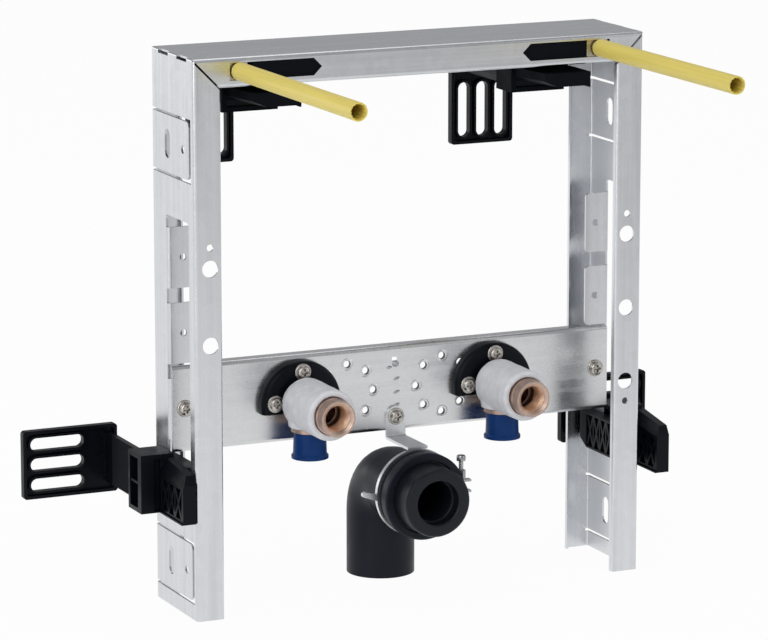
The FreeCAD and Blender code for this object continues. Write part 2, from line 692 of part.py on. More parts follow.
def mount(label, x):
    front = "plate_y - mount_depth"
    middle = "(tap_z - mount_fall)"
    dome = turned(label + "_mount_dome", "y", (x, 0, middle), [
        (front, "0"), (front, "mount_radius"), ("plate_y", "mount_radius"), ("plate_y", "0")])
    front_y = value(front)
    rounded(dome, label + "_mount_rounding", "mount_edge",
            lambda edge, middle: abs(middle.y - front_y) < 0.01)
    tools = [block(label + "_mount_flat",
                   ("%s - mount_radius - 1" % x, front + " - 1", middle + " - mount_radius - 1"),
                   ("%s + mount_radius + 1" % x, "plate_y + 1", "tap_z - mount_drop"))]
    tools.append(cylinder(label + "_mount_bore", "y", (x, front + " - 1", "tap_z"),
                          "brass_radius + seat_gap", "mount_depth + 2"))
    tools.append(block(label + "_mount_way",
                       ("%s - brass_radius - seat_gap" % x, front + " - 1",
                        middle + " - mount_radius"),
                       ("%s + brass_radius + seat_gap" % x, "plate_y + 1", "tap_z")))
    for number, angle in enumerate(MOUNT_SCREWS, start=1):
        tools.append(cylinder("%s_mount_way_%d" % (label, number), "y", (
            "%s + mount_screw_radius * cos(%d)" % (x, angle), front + " - 1",
            "tap_z + mount_screw_radius * sin(%d)" % angle),
            "screw_shank / 2 + seat_gap", "mount_depth + 2"))
    part(label + "_mount", cut(label + "_mount", dome, tools))


def brass(label, x):
    socket = turned(label + "_socket", "y", (x, 0, "tap_z"), [
        ("-socket_front", "socket_bore / 2 + 0.8"), ("-socket_front", "socket_radius"),
        ("-socket_front + 8", "socket_radius"), ("-socket_front + 9", "brass_radius"),
        ("plate_y - 1", "brass_radius"), ("plate_y - 1", "0"),
        ("socket_bore_depth - socket_front", "0"),
        ("socket_bore_depth - socket_front", "socket_bore / 2"),
        ("-socket_front + 1.5", "socket_bore / 2")])
    inlet = cylinder(label + "_inlet", "z", (x, "inlet_y", "plug_top + seat_gap"),
                     "inlet_radius", "tap_z - plug_top - seat_gap")
    collar = cylinder(label + "_collar", "z", (x, "inlet_y", "plug_top + seat_gap"),
                      "collar_radius", "collar_top - plug_top - seat_gap")
    whole = fuse(label + "_brass_whole", [socket, inlet, collar])
    ways = [
        cylinder(label + "_water_level", "y", (x, "0", "tap_z"), "waterway", "inlet_y"),
        cylinder(label + "_water_down", "z", (x, "inlet_y", "plug_top"), "waterway",
                 "tap_z - plug_top"),
        doc.addObject("Part::Sphere", label + "_water_turn"),
    ]
    ways[2].setExpression("Radius", bound("waterway"))
    place(ways[2], (x, "inlet_y", "tap_z"))
    part(label + "_tap_elbow", cut(label + "_tap_elbow", whole, ways))


def insulation(label, x):
    """Foam sleeve round the socket, with a neck down to the collar of the inlet."""
    rear = "(plate_y - mount_depth - screw_head_height - seat_gap)"
    body = turned(label + "_sleeve_body", "y", (x, 0, "tap_z"), [
        ("-sleeve_front", "0"), ("-sleeve_front", "sleeve_radius"),
        (rear, "sleeve_radius"), (rear, "0")])
    front_y = -value("sleeve_front")
    rounded(body, label + "_sleeve_rounding", "2.5",
            lambda edge, middle: abs(middle.y - front_y) < 0.01)
    neck = cylinder(label + "_sleeve_neck", "z", (x, "inlet_y", COLLAR_GAP), "neck_radius",
                    "tap_z - " + COLLAR_GAP)
    whole = fuse(label + "_sleeve_whole", [body, neck])
    tools = [
        cylinder(label + "_sleeve_bore", "y", (x, "-sleeve_front - 1", "tap_z"),
                 "brass_radius + seat_gap", "sleeve_front + plate_y + 1"),
        cylinder(label + "_sleeve_gap", "z", (x, "inlet_y", COLLAR_GAP + " - 1"),
                 "inlet_radius + seat_gap", "tap_z - " + COLLAR_GAP + " + 1"),
        cylinder(label + "_collar_gap", "z", (x, "inlet_y", "plug_top"),
                 "collar_radius + seat_gap", COLLAR_GAP + " - plug_top"),
        block(label + "_sleeve_back", (x + " - 2 * sleeve_radius", rear,
                                       "tap_z - 2 * sleeve_radius"),
              (x + " + 2 * sleeve_radius", "plate_y", "tap_z + 2 * sleeve_radius")),
    ]
    part(label + "_insulation", cut(label + "_insulation", whole, tools))


def quarter_bend(name, radius):
    """A quarter ring in the plane x = 0, from the vertical leg to the horizontal leg."""
    item = doc.addObject("Part::Torus", name)
    item.Placement = Placement(
        Vector(), Rotation(Vector(0, 1, 0), Vector(0, 0, 1), Vector(1, 0, 0)))
    item.setExpression("Radius1", bound("elbow_bend"))
    item.setExpression("Radius2", bound(radius))
    item.Angle3 = 90
    place(item, (0, "waste_y - elbow_bend", "waste_z - elbow_bend"))
    return item


def waste_elbow():
    bend_y = "(waste_y - elbow_bend)"
    bend_z = "(waste_z - elbow_bend)"
    front = "waste_socket_front"
    outer = "waste_socket_radius"
    rim = outer + " + waste_rim"
    socket = turned("waste_socket", "y", (0, 0, "waste_z"), [
        (front, "0"), (front, rim + " - 1"), (front + " + 1", rim),
        (front + " + rim_width - 1", rim), (front + " + rim_width", outer),
        (CLAMP_Y + " - 3", outer), (CLAMP_Y + " - 2.5", outer + " + 1"),
        (CLAMP_Y + " - 1.2", outer + " + 1"), (CLAMP_Y + " - 0.7", outer),
        ("socket_rear", outer), ("socket_rear + 4", "pipe_radius"), ("socket_rear + 4", "0")])
    solid = fuse("waste_outer", [
        cylinder("waste_leg", "z", (0, "waste_y", "waste_bottom"), "pipe_radius",
                 bend_z + " - waste_bottom"),
        quarter_bend("waste_bend", "pipe_radius"),
        cylinder("waste_neck", "y", (0, "socket_rear", "waste_z"), "pipe_radius",
                 bend_y + " - socket_rear"),
        socket,
    ])
    bore = "(pipe_radius - pipe_wall)"
    inner = [
        cylinder("waste_leg_bore", "z", (0, "waste_y", "waste_bottom - 1"), bore,
                 bend_z + " - waste_bottom + 1"),
        quarter_bend("waste_bend_bore", bore),
        cylinder("waste_neck_bore", "y", (0, front + " - 1", "waste_z"), bore,
                 bend_y + " - " + front + " + 1"),
        cylinder("waste_socket_bore", "y", (0, front + " - 1", "waste_z"),
                 outer + " - pipe_wall", "socket_rear - pipe_wall - " + front + " + 1"),
    ]
    part("waste_elbow", cut("waste_elbow", solid, inner))
    waste_seal()


def waste_seal():
    """Rubber sleeve that fills the socket and stands out in front of it."""
    bore = "seal_bore / 2"
    fit = "waste_socket_radius - pipe_wall - seat_gap"
    mouth = "waste_socket_front + 2"
    part("waste_seal", turned("waste_seal", "y", (0, 0, "waste_z"), [
        ("seal_front", bore + " + 1"), ("seal_front", "pipe_radius - 2"),
        ("seal_front + 0.6", "pipe_radius - 0.6"), ("seal_front + 2", "pipe_radius"),
        (mouth, "pipe_radius"), (mouth, fit),
        ("socket_rear - pipe_wall - 2", fit), ("socket_rear - pipe_wall - 2", bore),
        ("seal_front + 1", bore)]))


def waste_clamp():
    """Ring round the waste socket, strap up to the cross plate and its screws."""
    outer = "(%s + clamp_sheet)" % CLAMP_RADIUS
    ring = turned("clamp_band", "y", (0, 0, "waste_z"), [
        (CLAMP_Y, CLAMP_RADIUS), (CLAMP_Y, outer), (CLAMP_Y + " + clamp_width", outer),
        (CLAMP_Y + " + clamp_width", CLAMP_RADIUS)])
    root = "-%s + 1" % CLAMP_RADIUS
    end = "(hinge_end - %s - hinge_ear)" % CLAMP_RADIUS
    ear = extrusion("clamp_hinge_ear", "XZ_Plane", [
        (root, "waste_z - 2 * hinge_end"), (end, "waste_z"),
        (end, "waste_z + 2 * hinge_end"), (root, "waste_z + hinge_end / 2")],
        CLAMP_Y, "clamp_width")
    knuckle = cylinder("clamp_knuckle", "y", (end, CLAMP_Y, "waste_z + hinge_end"), "hinge_end",
                       "clamp_width")
    within = cylinder("clamp_within", "y", (0, CLAMP_Y + " - 1", "waste_z"), CLAMP_RADIUS,
                      "clamp_width + 2")
    whole = fuse("clamp_ring_whole", [ring, ear, knuckle])
    part("clamp_ring", cut("clamp_ring", whole, [within]))
    half = "strap_width / 2"
    foot = "(waste_z + %s + seat_gap)" % outer
    front = "(plate_y - strap_sheet)"
    tip = CLAMP_Y + " - 1"
    body = extrusion("strap_bar", "YZ_Plane", [
        (front, SCREW_Z), ("plate_y", SCREW_Z), ("plate_y", foot), (tip, foot),
        (tip, foot + " + strap_sheet"), (front, foot + " + strap_sheet")],
        "-" + half, "strap_width")
    level = Vector(1, 0, 0)
    outer_bend = [(value(foot), value("plate_y"))]
    inner_bend = [(value(foot + " + strap_sheet"), value(front))]
    rounded(body, "strap_outer_bend", "strap_sheet + bend",
            bend_test(level, lambda spot: spot.z, outer_bend))
    rounded(body, "strap_inner_bend", "bend",
            bend_test(level, lambda spot: spot.z, inner_bend))
    head = cylinder("strap_end", "y", (0, front, SCREW_Z), half, "strap_sheet")
    hole = cylinder("strap_hole", "y", (0, front + " - 1", SCREW_Z),
                    "screw_shank / 2 + seat_gap", "strap_sheet + 2")
    part("clamp_strap", cut("clamp_strap", fuse("strap_whole", [body, head]), [hole]))
    part("middle_screw", screw("middle_screw", 0, front, SCREW_Z,
                               "strap_sheet + plate_sheet + 5"))
    clamp_bolt(outer)


def clamp_bolt(outer):
    """Tightening bolt with its two ears, at the right of the clamp ring."""
    x = "(%s + 4)" % outer
    y = "(%s + clamp_width / 2)" % CLAMP_Y
    ears = []
    for label, level in (("low", "waste_z - 4"), ("high", "waste_z + 4")):
        ears.append(block("clamp_ear_" + label,
                          (outer + " + seat_gap", CLAMP_Y, level),
                          (outer + " + clamp_ear + seat_gap", CLAMP_Y + " + clamp_width",
                           level + " + clamp_sheet")))
    low = "(waste_z - 6)"
    bolt = cylinder("clamp_bolt_shank", "z", (x, y, low), "clamp_bolt * 0.6",
                    "clamp_bolt_length")
    head = cylinder("clamp_bolt_head", "z", (x, y, low + " + clamp_bolt_length - 4"),
                    "clamp_bolt", "4")
    nut = cylinder("clamp_bolt_nut", "z", (x, y, low + " + clamp_nut_rise"),
                   "clamp_bolt", "clamp_nut_height")
    part("clamp_bolt", fuse("clamp_bolt", ears + [bolt, head, nut]))


def protective_sleeve(label, side):
    """Sleeve for a threaded rod, and the slide plate whose spigot carries it."""
    x = "%d * %s" % (side, ROD_X)
    bore = "tube_radius - tube_wall"
    part(label + "_rod_sleeve", turned(label + "_rod_sleeve", "y", (x, 0, ROD_Z), [
        ("-tube_front", bore), ("-tube_front", "tube_radius"),
        ("-seat_gap", "tube_radius"), ("-seat_gap", "tube_radius - root_wall"),
        ("-boss_length", "tube_radius - root_wall"), ("-boss_length", bore)]))
    seat = "(sheet + seat_gap)"
    spigot = cylinder(label + "_spigot", "y", (x, "seat_gap - boss_length", ROD_Z), SPIGOT,
                      "boss_length + sheet")
    inner = "frame_height - flange + sheet + holder_wall"
    slide = block(label + "_slide", (x + " - bush_width / 2", seat, inner),
                  (x + " + tube_radius", seat + " + holder_wall",
                   "frame_height - sheet - 2 * seat_gap"))
    part(label + "_rod_bush", fuse(label + "_rod_bush", [spigot, slide]))


def recess_in(name, face, floor, depths, levels):
    """A recess in a side face, with the start and the end of the ribs that stand in it."""
    outward = 1 if value(face) > value(floor) else -1
    mouth = "%s + %d" % (face, outward)
    tip = "%s - %d * rib_setback" % (face, outward)
    root = "%s - %d * 0.5" % (floor, outward)
    near, far = depths
    low, high = levels
    low_x, high_x = (floor, mouth) if outward > 0 else (mouth, floor)
    recess = block(name + "_recess", (low_x, near, low), (high_x, far, high))
    start, end = (root, tip) if outward > 0 else (tip, root)
    return recess, start, end


def barred_recess(name, face, floor, depths, levels):
    """A recess in a side face, with one level rib across its middle."""
    recess, start, end = recess_in(name, face, floor, depths, levels)
    near, far = depths
    middle = "((%s) + (%s)) / 2" % levels
    rib = block(name + "_bar", (start, near, middle + " - rib / 2"),
                (end, far, middle + " + rib / 2"))
    return recess, rib


def ribbed_recess(name, face, floor, depths, levels, cells):
    """A recess in a side face, and the crossed ribs that are left standing in it."""
    recess, start, end = recess_in(name, face, floor, depths, levels)
    near, far = depths
    low, high = levels
    length = "(%s) - (%s)" % (end, start)
    step = "((%s) - (%s)) / %d" % (far, near, cells)
    ribs = []
    for cell in range(cells):
        left = "(%s) + %d * %s" % (near, cell, step)
        right = "(%s) + %d * %s" % (near, cell + 1, step)
        for label, one, other in (("rise", low, high), ("fall", high, low)):
            way = 1 if label == "rise" else -1
            ribs.append(extrusion("%s_%s_%d" % (name, label, cell + 1), "YZ_Plane", [
                (left, one), (left + " + rib", one),
                (right, "%s - %d * rib" % (other, way)), (right, other),
                (right + " - rib", other), (left, "%s + %d * rib" % (one, way))],
                start, length))
        if cell:
            ribs.append(block("%s_upright_%d" % (name, cell), (start, left + " - rib / 2", low),
                              (end, left + " + rib / 2", high)))
    return recess, fuse(name + "_ribs", ribs)


# The two forms of moulded bracket are drawn about the arm: x across the arm, z from the
# underside of the housing. The plate reaches to the left for side 1, to the right for -1.
def wall_plate(name, side, edge):
    """Slotted plate and toothed arm, one moulding."""
    def across(text):
        return "%d * (%s)" % (side, text)
    inner = "(%s)" % edge
    outer = "(%s - wall_plate_length)" % edge
    low = "(plate_middle - wall_plate_width / 2)"
    high = "(plate_middle + wall_plate_width / 2)"
    plate = slab(name + "_slab", [across(outer), across(inner)], [low, high],
                 "wall_y", "wall_plate_depth")
    rim = [across(outer + " + plate_rim"), across(inner + " - plate_rim")]
    hollow = slab(name + "_hollow", rim, [low + " + plate_rim", high + " - plate_rim"],
                  "wall_y - 1", "wall_plate_depth - plate_floor + 1")
    collars = []
    slots = []
    start = outer + " + wall_slot_margin"
    for number in range(3):
        level = "plate_middle + %d * wall_slot_pitch" % (number - 1)
        stem = "%s_slot_%d" % (name, number + 1)
        slots.append(level_slot(stem, across, start, level, "wall_slot_width / 2",
                                "wall_y - 1", "wall_plate_depth + 2"))
        collars.append(level_slot(stem + "_collar", across, start, level,
                                  "wall_slot_width / 2 + plate_rim * 0.7", "wall_y",
                                  "wall_plate_depth"))
        collars.append(cylinder(stem + "_pip", "y", (
            across(inner + " - wall_slot_width"), "wall_y + 1", level + " + 2"), "1.2",
            "wall_plate_depth - 2"))
    dished = cut(name + "_dished", plate, [hollow])
    whole = fuse(name + "_whole", [dished, toothed_arm(name)] + collars)
    return cut(name, whole, slots)


def slab(name, acrosses, levels, start, depth):
    """A plate that faces the wall, with its upright corners rounded."""
    left, right = acrosses
    low, high = levels
    body = extrusion(name, "XZ_Plane", [
        (left, low), (right, low), (right, high), (left, high)], start, depth)
    return rounded(body, name + "_corners", "plate_rim",
                   lambda edge, middle: runs_along(edge, Vector(0, 1, 0)))


def toothed_arm(name):
    """A flat bar with a row of teeth, which a pattern repeats along it."""
    low = "arm_sheet / 3"
    arm = extrusion(name + "_arm", "XY_Plane", [
        ("-arm_sheet / 2", "arm_front"), ("arm_sheet / 2", "arm_front"),
        ("arm_sheet / 2", "wall_y + wall_plate_depth - 1"),
        ("-arm_sheet / 2", "wall_y + wall_plate_depth - 1")],
        low, "arm_width")
    sketch = sketch_on(arm, "XY_Plane", (0, 0, 0))
    first = "arm_front + 2 * tooth_pitch"
    outline(sketch, [
        ("-arm_sheet / 2 - 1", first + " - tooth_pitch / 2"),
        ("-arm_sheet / 2", first + " - tooth_pitch / 2"),
        ("-arm_sheet / 2 + tooth_depth", first), ("-arm_sheet / 2", first + " + tooth_pitch / 2"),
        ("-arm_sheet / 2 - 1", first + " + tooth_pitch / 2")])
    notch = arm.newObject("PartDesign::Pocket", name + "_notch")
    notch.Profile = sketch
    notch.Reversed = True
    notch.setExpression("Length", bound("arm_width + arm_sheet"))
    sketch.Visibility = False
    doc.recompute()
    row = arm.newObject("PartDesign::LinearPattern", name + "_teeth")
    row.Originals = [notch]
    row.Direction = (sketch, ["V_Axis"])
    count = int(value("(wall_y - arm_front) / tooth_pitch")) - 4
    row.setExpression("Length", bound("%d * tooth_pitch" % (count - 1)))
    row.Occurrences = count
    arm.Tip = row
    return arm


def level_slot(name, across, start, level, radius, front, depth):
    """A round-ended bar that lies level, through or on a wall plate."""
    reach = "wall_slot_width / 2"
    ends = ["(%s) + %s" % (start, reach), "(%s) + wall_slot_length - %s" % (start, reach)]
    pieces = [cylinder("%s_end_%d" % (name, number), "y", (across(end), front, level),
                       radius, depth) for number, end in enumerate(ends, 1)]
    pieces.append(extrusion(name + "_run", "XZ_Plane", [
        (across(ends[0]), level + " - (%s)" % radius), (across(ends[1]), level + " - (%s)" % radius),
        (across(ends[1]), level + " + (%s)" % radius), (across(ends[0]), level + " + (%s)" % radius)],
        front, depth))
    return fuse(name, pieces)


def housing(name, shallow):
    """Guide block round the arm with a ribbed nose that reaches to the front of the frame."""
    half = "block_width / 2"
    rear = "(block_front + block_depth)"
    faces = {"left": "-%s + block_step" % half if shallow else "-" + half, "right": half}
    guide = block(name + "_block", (faces["left"], "block_front", "0"),
                  (half, rear, "block_height"))
    tools = []
    ribs = []
    for label, side in (("left", -1), ("right", 1)):
        if shallow and side < 0:
            continue
        recess, rib = barred_recess(
            "%s_%s" % (name, label), faces[label],
            "%d * (arm_sheet / 2 + recess_floor)" % side,
            ("block_front + 2 * recess_rim", rear + " - recess_rim"),
            ("recess_rim", "block_height - recess_rim"))
        tools.append(recess)
        ribs.append(rib)
    nose = housing_nose(name, half)
    recess, rib = ribbed_recess(
        name + "_nose_side", half + " - nose_width", half + " - recess_floor",
        ("recess_rim", "block_front - 1"),
        ("recess_rim", "nose_front - recess_rim"), 3)
    tools.append(recess)
    ribs.append(rib)
    whole = fuse(name + "_whole", [guide, nose])
    ribbed = fuse(name + "_ribbed", [cut(name + "_hollowed", whole, tools)] + ribs)
    low = "arm_sheet / 3"
    way = block(name + "_way", ("-arm_sheet / 2 - seat_gap", "-1", low + " - seat_gap"),
                ("arm_sheet / 2 + seat_gap", rear + " + 1", low + " + arm_width + seat_gap"))
    return cut(name, ribbed, [way])


def housing_nose(name, half):
    """The nose rises to the block and is bevelled along its top and over its front."""
    nose = extrusion(name + "_nose", "YZ_Plane", [
        ("0", "0"), ("block_front + 1", "0"), ("block_front + 1", "block_height - 2"),
        ("nose_front_bevel", "nose_height"), ("0", "nose_front")],
        half + " - nose_width", "nose_width")
    doc.recompute()
    solid = nose.Tip
    left = value(half + " - nose_width")
    top = value("nose_height")
    edges = []
    for number, edge in enumerate(solid.Shape.Edges, start=1):
        ends = [vertex.Point for vertex in edge.Vertexes]
        if all(abs(end.x - left) < 0.01 and end.z > top - 0.01 for end in ends):
            edges.append("Edge%d" % number)
    bevel = nose.newObject("PartDesign::Chamfer", name + "_nose_bevel")
    bevel.Base = (solid, edges)
    bevel.ChamferType = "Two distances"
    bevel.setExpression("Size", bound("nose_chamfer"))
    bevel.setExpression("Size2", bound("nose_width - 1"))
    return nose


def bracket(label, plate_side, edge, turn, spot):
    """Places the two mouldings of one bracket: a turn about y and a place for the arm."""
    for name, item in ((label + "_wall_plate", wall_plate(label + "_wall_plate", plate_side,
                                                          edge)),
                       (label + "_housing", housing(label + "_housing", turn != 0))):
        item.Placement = Placement(Vector(), Rotation(Vector(0, 1, 0), turn))
        place(item, spot)
        part(name, item)


def brackets():
    arm_x = "(frame_width / 2 + block_width / 2)"
    edge = "low_plate_edge"
    bracket("lower_left", 1, edge, 0, ("-%s - seat_gap" % arm_x, 0, "low_bracket_z"))
    bracket("lower_right", -1, edge, 0, (arm_x + " + seat_gap", 0, "low_bracket_z"))
    level = "(frame_height - high_plate_drop + wall_plate_length - high_plate_edge)"
    middle = "(%s - high_bracket_step)" % ROD_X
    edge = "high_plate_edge"
    bracket("upper_left", 1, edge, -90, ("-%s + plate_middle" % middle, 0, level))
    bracket("upper_right", 1, edge, -90, (middle + " + plate_middle", 0, level))
    for label, side in (("left", -1), ("right", 1)):
        post_clip("lower_%s_clip" % label, side)
        rod_holder("%s_rod_holder" % label, side, level, middle)


def post_clip(name, side):
    """Clip inside a post that reaches through the window to the housing outside."""
    outer = "%d * (frame_width / 2 - sheet - seat_gap)" % side
    inner = "%d * (frame_width / 2 - sheet - seat_gap - clip_depth)" % side
    low = "(low_bracket_z + 9)"
    high = "(%s + clip_height)" % low
    rear = "(frame_depth - sheet - clip_back_gap)"
    start = inner if side > 0 else outer
    body = extrusion(name + "_body", "YZ_Plane", [
        ("clip_front", low), (rear + " - 10", low), (rear, low + " + 6"),
        (rear, high), ("clip_front", high)], start, "clip_depth")
    recess, ribs = ribbed_recess(name, inner, "%s - %d * 3" % (outer, side),
                                 ("clip_front + rib", rear + " - 10"),
                                 (low + " + rib", high + " - rib"), 4)
    neck_low = "(window_bottom + seat_gap)"
    ends = [outer, "%d * (frame_width / 2 + seat_gap)" % side]
    if side < 0:
        ends.reverse()
    neck = block(name + "_neck", (ends[0], "clip_front + 2", neck_low),
                 (ends[1], "plate_y - 2", neck_low + " + neck_height"))
    part(name, fuse(name, [cut(name + "_hollowed", body, [recess]), ribs, neck]))


def rod_holder(name, side, level, middle):
    """Holder inside the beam, behind a slot, that carries a slide plate and a wall bracket."""
    outer = "%d * (%s + rod_slot_end + holder_wall)" % (side, ROD_X)
    far = "%d * (%s + rod_slot_end - holder_width)" % (side, ROD_X)
    low_x, high_x = (far, outer) if side > 0 else (outer, far)
    low = "frame_height - flange + sheet + seat_gap"
    high = "frame_height - sheet - seat_gap"
    rear = "frame_depth - sheet - seat_gap"
    front = "sheet + seat_gap"
    body = extrusion(name + "_body", "YZ_Plane", [
        (front, low), (rear, low), (rear, high), (front, high)], low_x, "holder_width + holder_wall")
    rounded(body, name + "_body_edges", "bend",
            lambda edge, middle: runs_along(edge, Vector(1, 0, 0)))
    hollow = block(name + "_hollow",
                   (low_x + " + holder_wall", front + " + holder_wall", low + " + holder_wall"),
                   (high_x + " - holder_wall", rear + " - holder_wall", high + " + 1"))
    rod = "%d * %s" % (side, ROD_X)
    seat = block(name + "_seat", (rod + " - bush_width / 2 - seat_gap", "0",
                                  "frame_height - flange + sheet + holder_wall"),
                 (rod + " + bush_width / 2 + seat_gap", front + " + 2 * holder_wall",
                  high + " + 1"))
    tray = cut(name + "_tray", body, [hollow, seat])
    top = level + " + block_width / 2 + seat_gap"
    foot_x = "%d * %s" % (side, middle)
    foot = block(name + "_foot", (foot_x + " - 12", "block_front", top),
                 (foot_x + " + 12", "block_front + block_depth", low))
    part(name, fuse(name, [tray, foot]))


def check():
    """Stops if any object failed or any piece is empty or not valid."""
    for item in doc.Objects:
        if {"Invalid", "Error"} & set(item.State):
            raise RuntimeError("%s failed: %s" % (item.Name, item.State))
    for item in parts:
        if item.Shape.isNull() or not item.Shape.isValid() or not item.Shape.Solids:
            raise RuntimeError("%s has no valid shape" % item.Label)


def write():
    os.makedirs("parts", exist_ok=True)
    for item in parts:
        item.Shape.exportStep("parts/%s.step" % item.Label)


post("left_post", -1)
post("right_post", 1)
top_beam()
cross_plate()
plate_screws()
tap_connector("left", -1)
tap_connector("right", 1)
waste_elbow()
waste_clamp()
protective_sleeve("left", -1)
protective_sleeve("right", 1)
brackets()
doc.recompute()
check()
write()
print("wrote %d parts" % len(parts))
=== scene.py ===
"""Finishes and small fittings of a washbasin installation frame, laid out as a Blender add-on."""

import math

import bmesh
import bpy
from bpy.props import FloatProperty, FloatVectorProperty, IntProperty, PointerProperty
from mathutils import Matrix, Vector, noise


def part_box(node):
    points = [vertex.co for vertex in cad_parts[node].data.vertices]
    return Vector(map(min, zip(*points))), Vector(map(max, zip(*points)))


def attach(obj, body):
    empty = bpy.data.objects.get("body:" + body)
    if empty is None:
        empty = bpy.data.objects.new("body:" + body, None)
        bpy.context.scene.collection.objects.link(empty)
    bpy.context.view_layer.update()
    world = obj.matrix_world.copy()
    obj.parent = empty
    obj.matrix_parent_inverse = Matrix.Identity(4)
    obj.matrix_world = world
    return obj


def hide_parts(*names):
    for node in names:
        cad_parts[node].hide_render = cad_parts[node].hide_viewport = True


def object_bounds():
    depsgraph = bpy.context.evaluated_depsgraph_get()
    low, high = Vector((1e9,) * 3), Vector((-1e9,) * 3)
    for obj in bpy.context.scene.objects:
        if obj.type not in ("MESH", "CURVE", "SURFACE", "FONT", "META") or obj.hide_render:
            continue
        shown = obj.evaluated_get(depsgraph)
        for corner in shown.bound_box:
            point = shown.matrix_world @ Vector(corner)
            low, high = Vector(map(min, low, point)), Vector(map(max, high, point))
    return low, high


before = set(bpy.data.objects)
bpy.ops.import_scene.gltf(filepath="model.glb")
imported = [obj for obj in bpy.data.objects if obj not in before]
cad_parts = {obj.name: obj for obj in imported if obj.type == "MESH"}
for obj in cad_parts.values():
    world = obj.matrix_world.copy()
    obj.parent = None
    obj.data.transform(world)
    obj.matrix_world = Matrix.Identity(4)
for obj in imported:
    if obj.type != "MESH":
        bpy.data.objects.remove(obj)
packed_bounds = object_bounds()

bl_info = {
    "name": "Washbasin installation frame",
    "version": (1, 0, 0),
    "blender": (4, 5, 0),
    "location": "3D View > Sidebar > Basin frame",
    "description": "Finishes and small fittings of a washbasin installation frame",
    "category": "Object",
}

MM = 0.001
SIDES = ("left", "right")

# Directions that the pieces are turned about or pressed along
FORWARD = (0, -1, 0)
BACKWARD = (0, 1, 0)
UP = (0, 0, 1)

# Creases sharper than this stay sharp in the shading.
CREASE = math.radians(35)


def linear(hex_colour):
    """A linear colour from its sRGB hex value."""
    channels = [int(hex_colour[i : i + 2], 16) / 255 for i in (1, 3, 5)]
    return [c / 12.92 if c <= 0.04045 else ((c + 0.055) / 1.055) ** 2.4 for c in channels]


def colour(label, hex_colour, text):
    """A colour setting whose default is an sRGB hex value."""
    return FloatVectorProperty(name=label, description=text, subtype="COLOR", size=3,
                               min=0, max=1, default=linear(hex_colour))


def length(label, millimetres, text):
    """A length setting whose default is given in millimetres."""
    return FloatProperty(name=label, description=text, unit="LENGTH", default=millimetres * MM)


def power(label, watts, text):
    """A power setting of a lamp."""
    return FloatProperty(name=label, description=text, unit="POWER", default=watts)


# Settings

class BasinFrameFinish(bpy.types.PropertyGroup):
    """Colours of the finishes."""

    sheet: colour("Galvanised sheet", "#d3d5d8", "Colour of the posts and the beam")
    plate: colour("Galvanised plate", "#d8d9da", "Colour of the cross plate")
    # The sheared edge's dark grey is torn zinc and also painted shade in the holes.
    sheared: colour("Sheared edge", "#55585b", "Colour of the punched edges in the plate's holes")
    # The pressed marks' darker grey is painted shade.
    mark: colour("Pressed mark", "#b4b7ba", "Colour of the small marks on the cross plate")
    zinc: colour("Zinc plating", "#bfbab4", "Colour of the screws")
    bolt: colour("Bolt", "#a9abad", "Colour of the tightening bolt of the clamp")
    strip: colour("Strip steel", "#dcdee1", "Colour of the waste clamp")
    brass: colour("Red brass, cast", "#c0a89b", "Colour of the tap elbows outside")
    # The turned bores' paler colour is fresh brass and also painted light in the bore.
    bore: colour("Red brass, turned", "#f3d1b6", "Colour of their turned bores")
    foam: colour("Insulating foam", "#e5e7eb", "Colour of the sleeves round the tap elbows")
    plug: colour("Plug", "#0e366f", "Colour of the building plugs")
    rod_sleeve: colour("Rod sleeve", "#edd96b", "Colour of the sleeves for the threaded rods")
    moulding: colour("Moulding", "#090c13", "Colour of the brackets and the connector mounts")
    pipe: colour("Waste pipe", "#1a1e27", "Colour of the waste elbow")
    rubber: colour("Rubber", "#14171f", "Colour of the seal in the waste socket")


class BasinFrameDetail(bpy.types.PropertyGroup):
    """Sizes of the small fittings."""

    thread_pitch: length("Thread pitch", 1.81, "Pitch of the half inch thread in the tap elbows")
    thread_depth: length("Thread depth", 0.6, "Depth of that thread")
    mouth: length("Socket mouth", 11.6, "Radius to which the sockets are bevelled at the front")
    recess_depth: length("Screw recess", 1.9, "Depth of the driver recess in the screw heads")
    recess_reach: length("Recess reach", 2.9, "Reach of the arms of that recess from the middle")
    rim_height: length("Hole rims", 0.25, "Height of the rims round the rings of holes")
    mark_height: length("Plate marks", 1.2, "Height of the slanted marks on the cross plate")
    tongue_height: length("Plate tongue", 1.8, "Height of the tongue under the small hole")
    sleeve_ribs: IntProperty(name="Sleeve ribs", description="Ribs inside a rod sleeve",
                             default=12, min=4, max=24)
    rib_height: length("Rib height", 0.7, "Height of the ribs inside a rod sleeve")
    foam_grain: length("Foam grain", 0.35, "Height of the unevenness of the foam sleeves")
    edge: length("Edge", 0.5, "Rounding of the edges of the mouldings")


class BasinFrameStage(bpy.types.PropertyGroup):
    """Camera and light."""

    turn: FloatProperty(name="Turn", description="Camera to the left of straight ahead",
                        subtype="ANGLE", default=math.radians(24.56))
    rise: FloatProperty(name="Rise", description="Camera above the horizon", subtype="ANGLE",
                        default=math.radians(11.65))
    distance: FloatProperty(name="Distance", description="Camera to its target", unit="LENGTH",
                            default=3.0091)
    lens: FloatProperty(name="Lens", description="Focal length in millimetres", unit="CAMERA",
                        default=198.8)
    key_power: power("Key light", 30, "Power of the light at the left")
    fill_power: power("Fill light", 12, "Power of the lights at the right and above")
    strip_power: power("Strip light", 9, "Power of the upright light at the far left")
    rim_power: power("Rim light", 16, "Power of the low light behind the frame at the left")
    sky: FloatProperty(name="Sky", description="Strength of the sky", default=0.4, min=0, max=2)


# Nodes of the materials

# Most values of a noise lie between these, so patterns run from one to the other.
NOISE_REACH = (0.3, 0.7)
METAL = {"Metallic": 1.0}


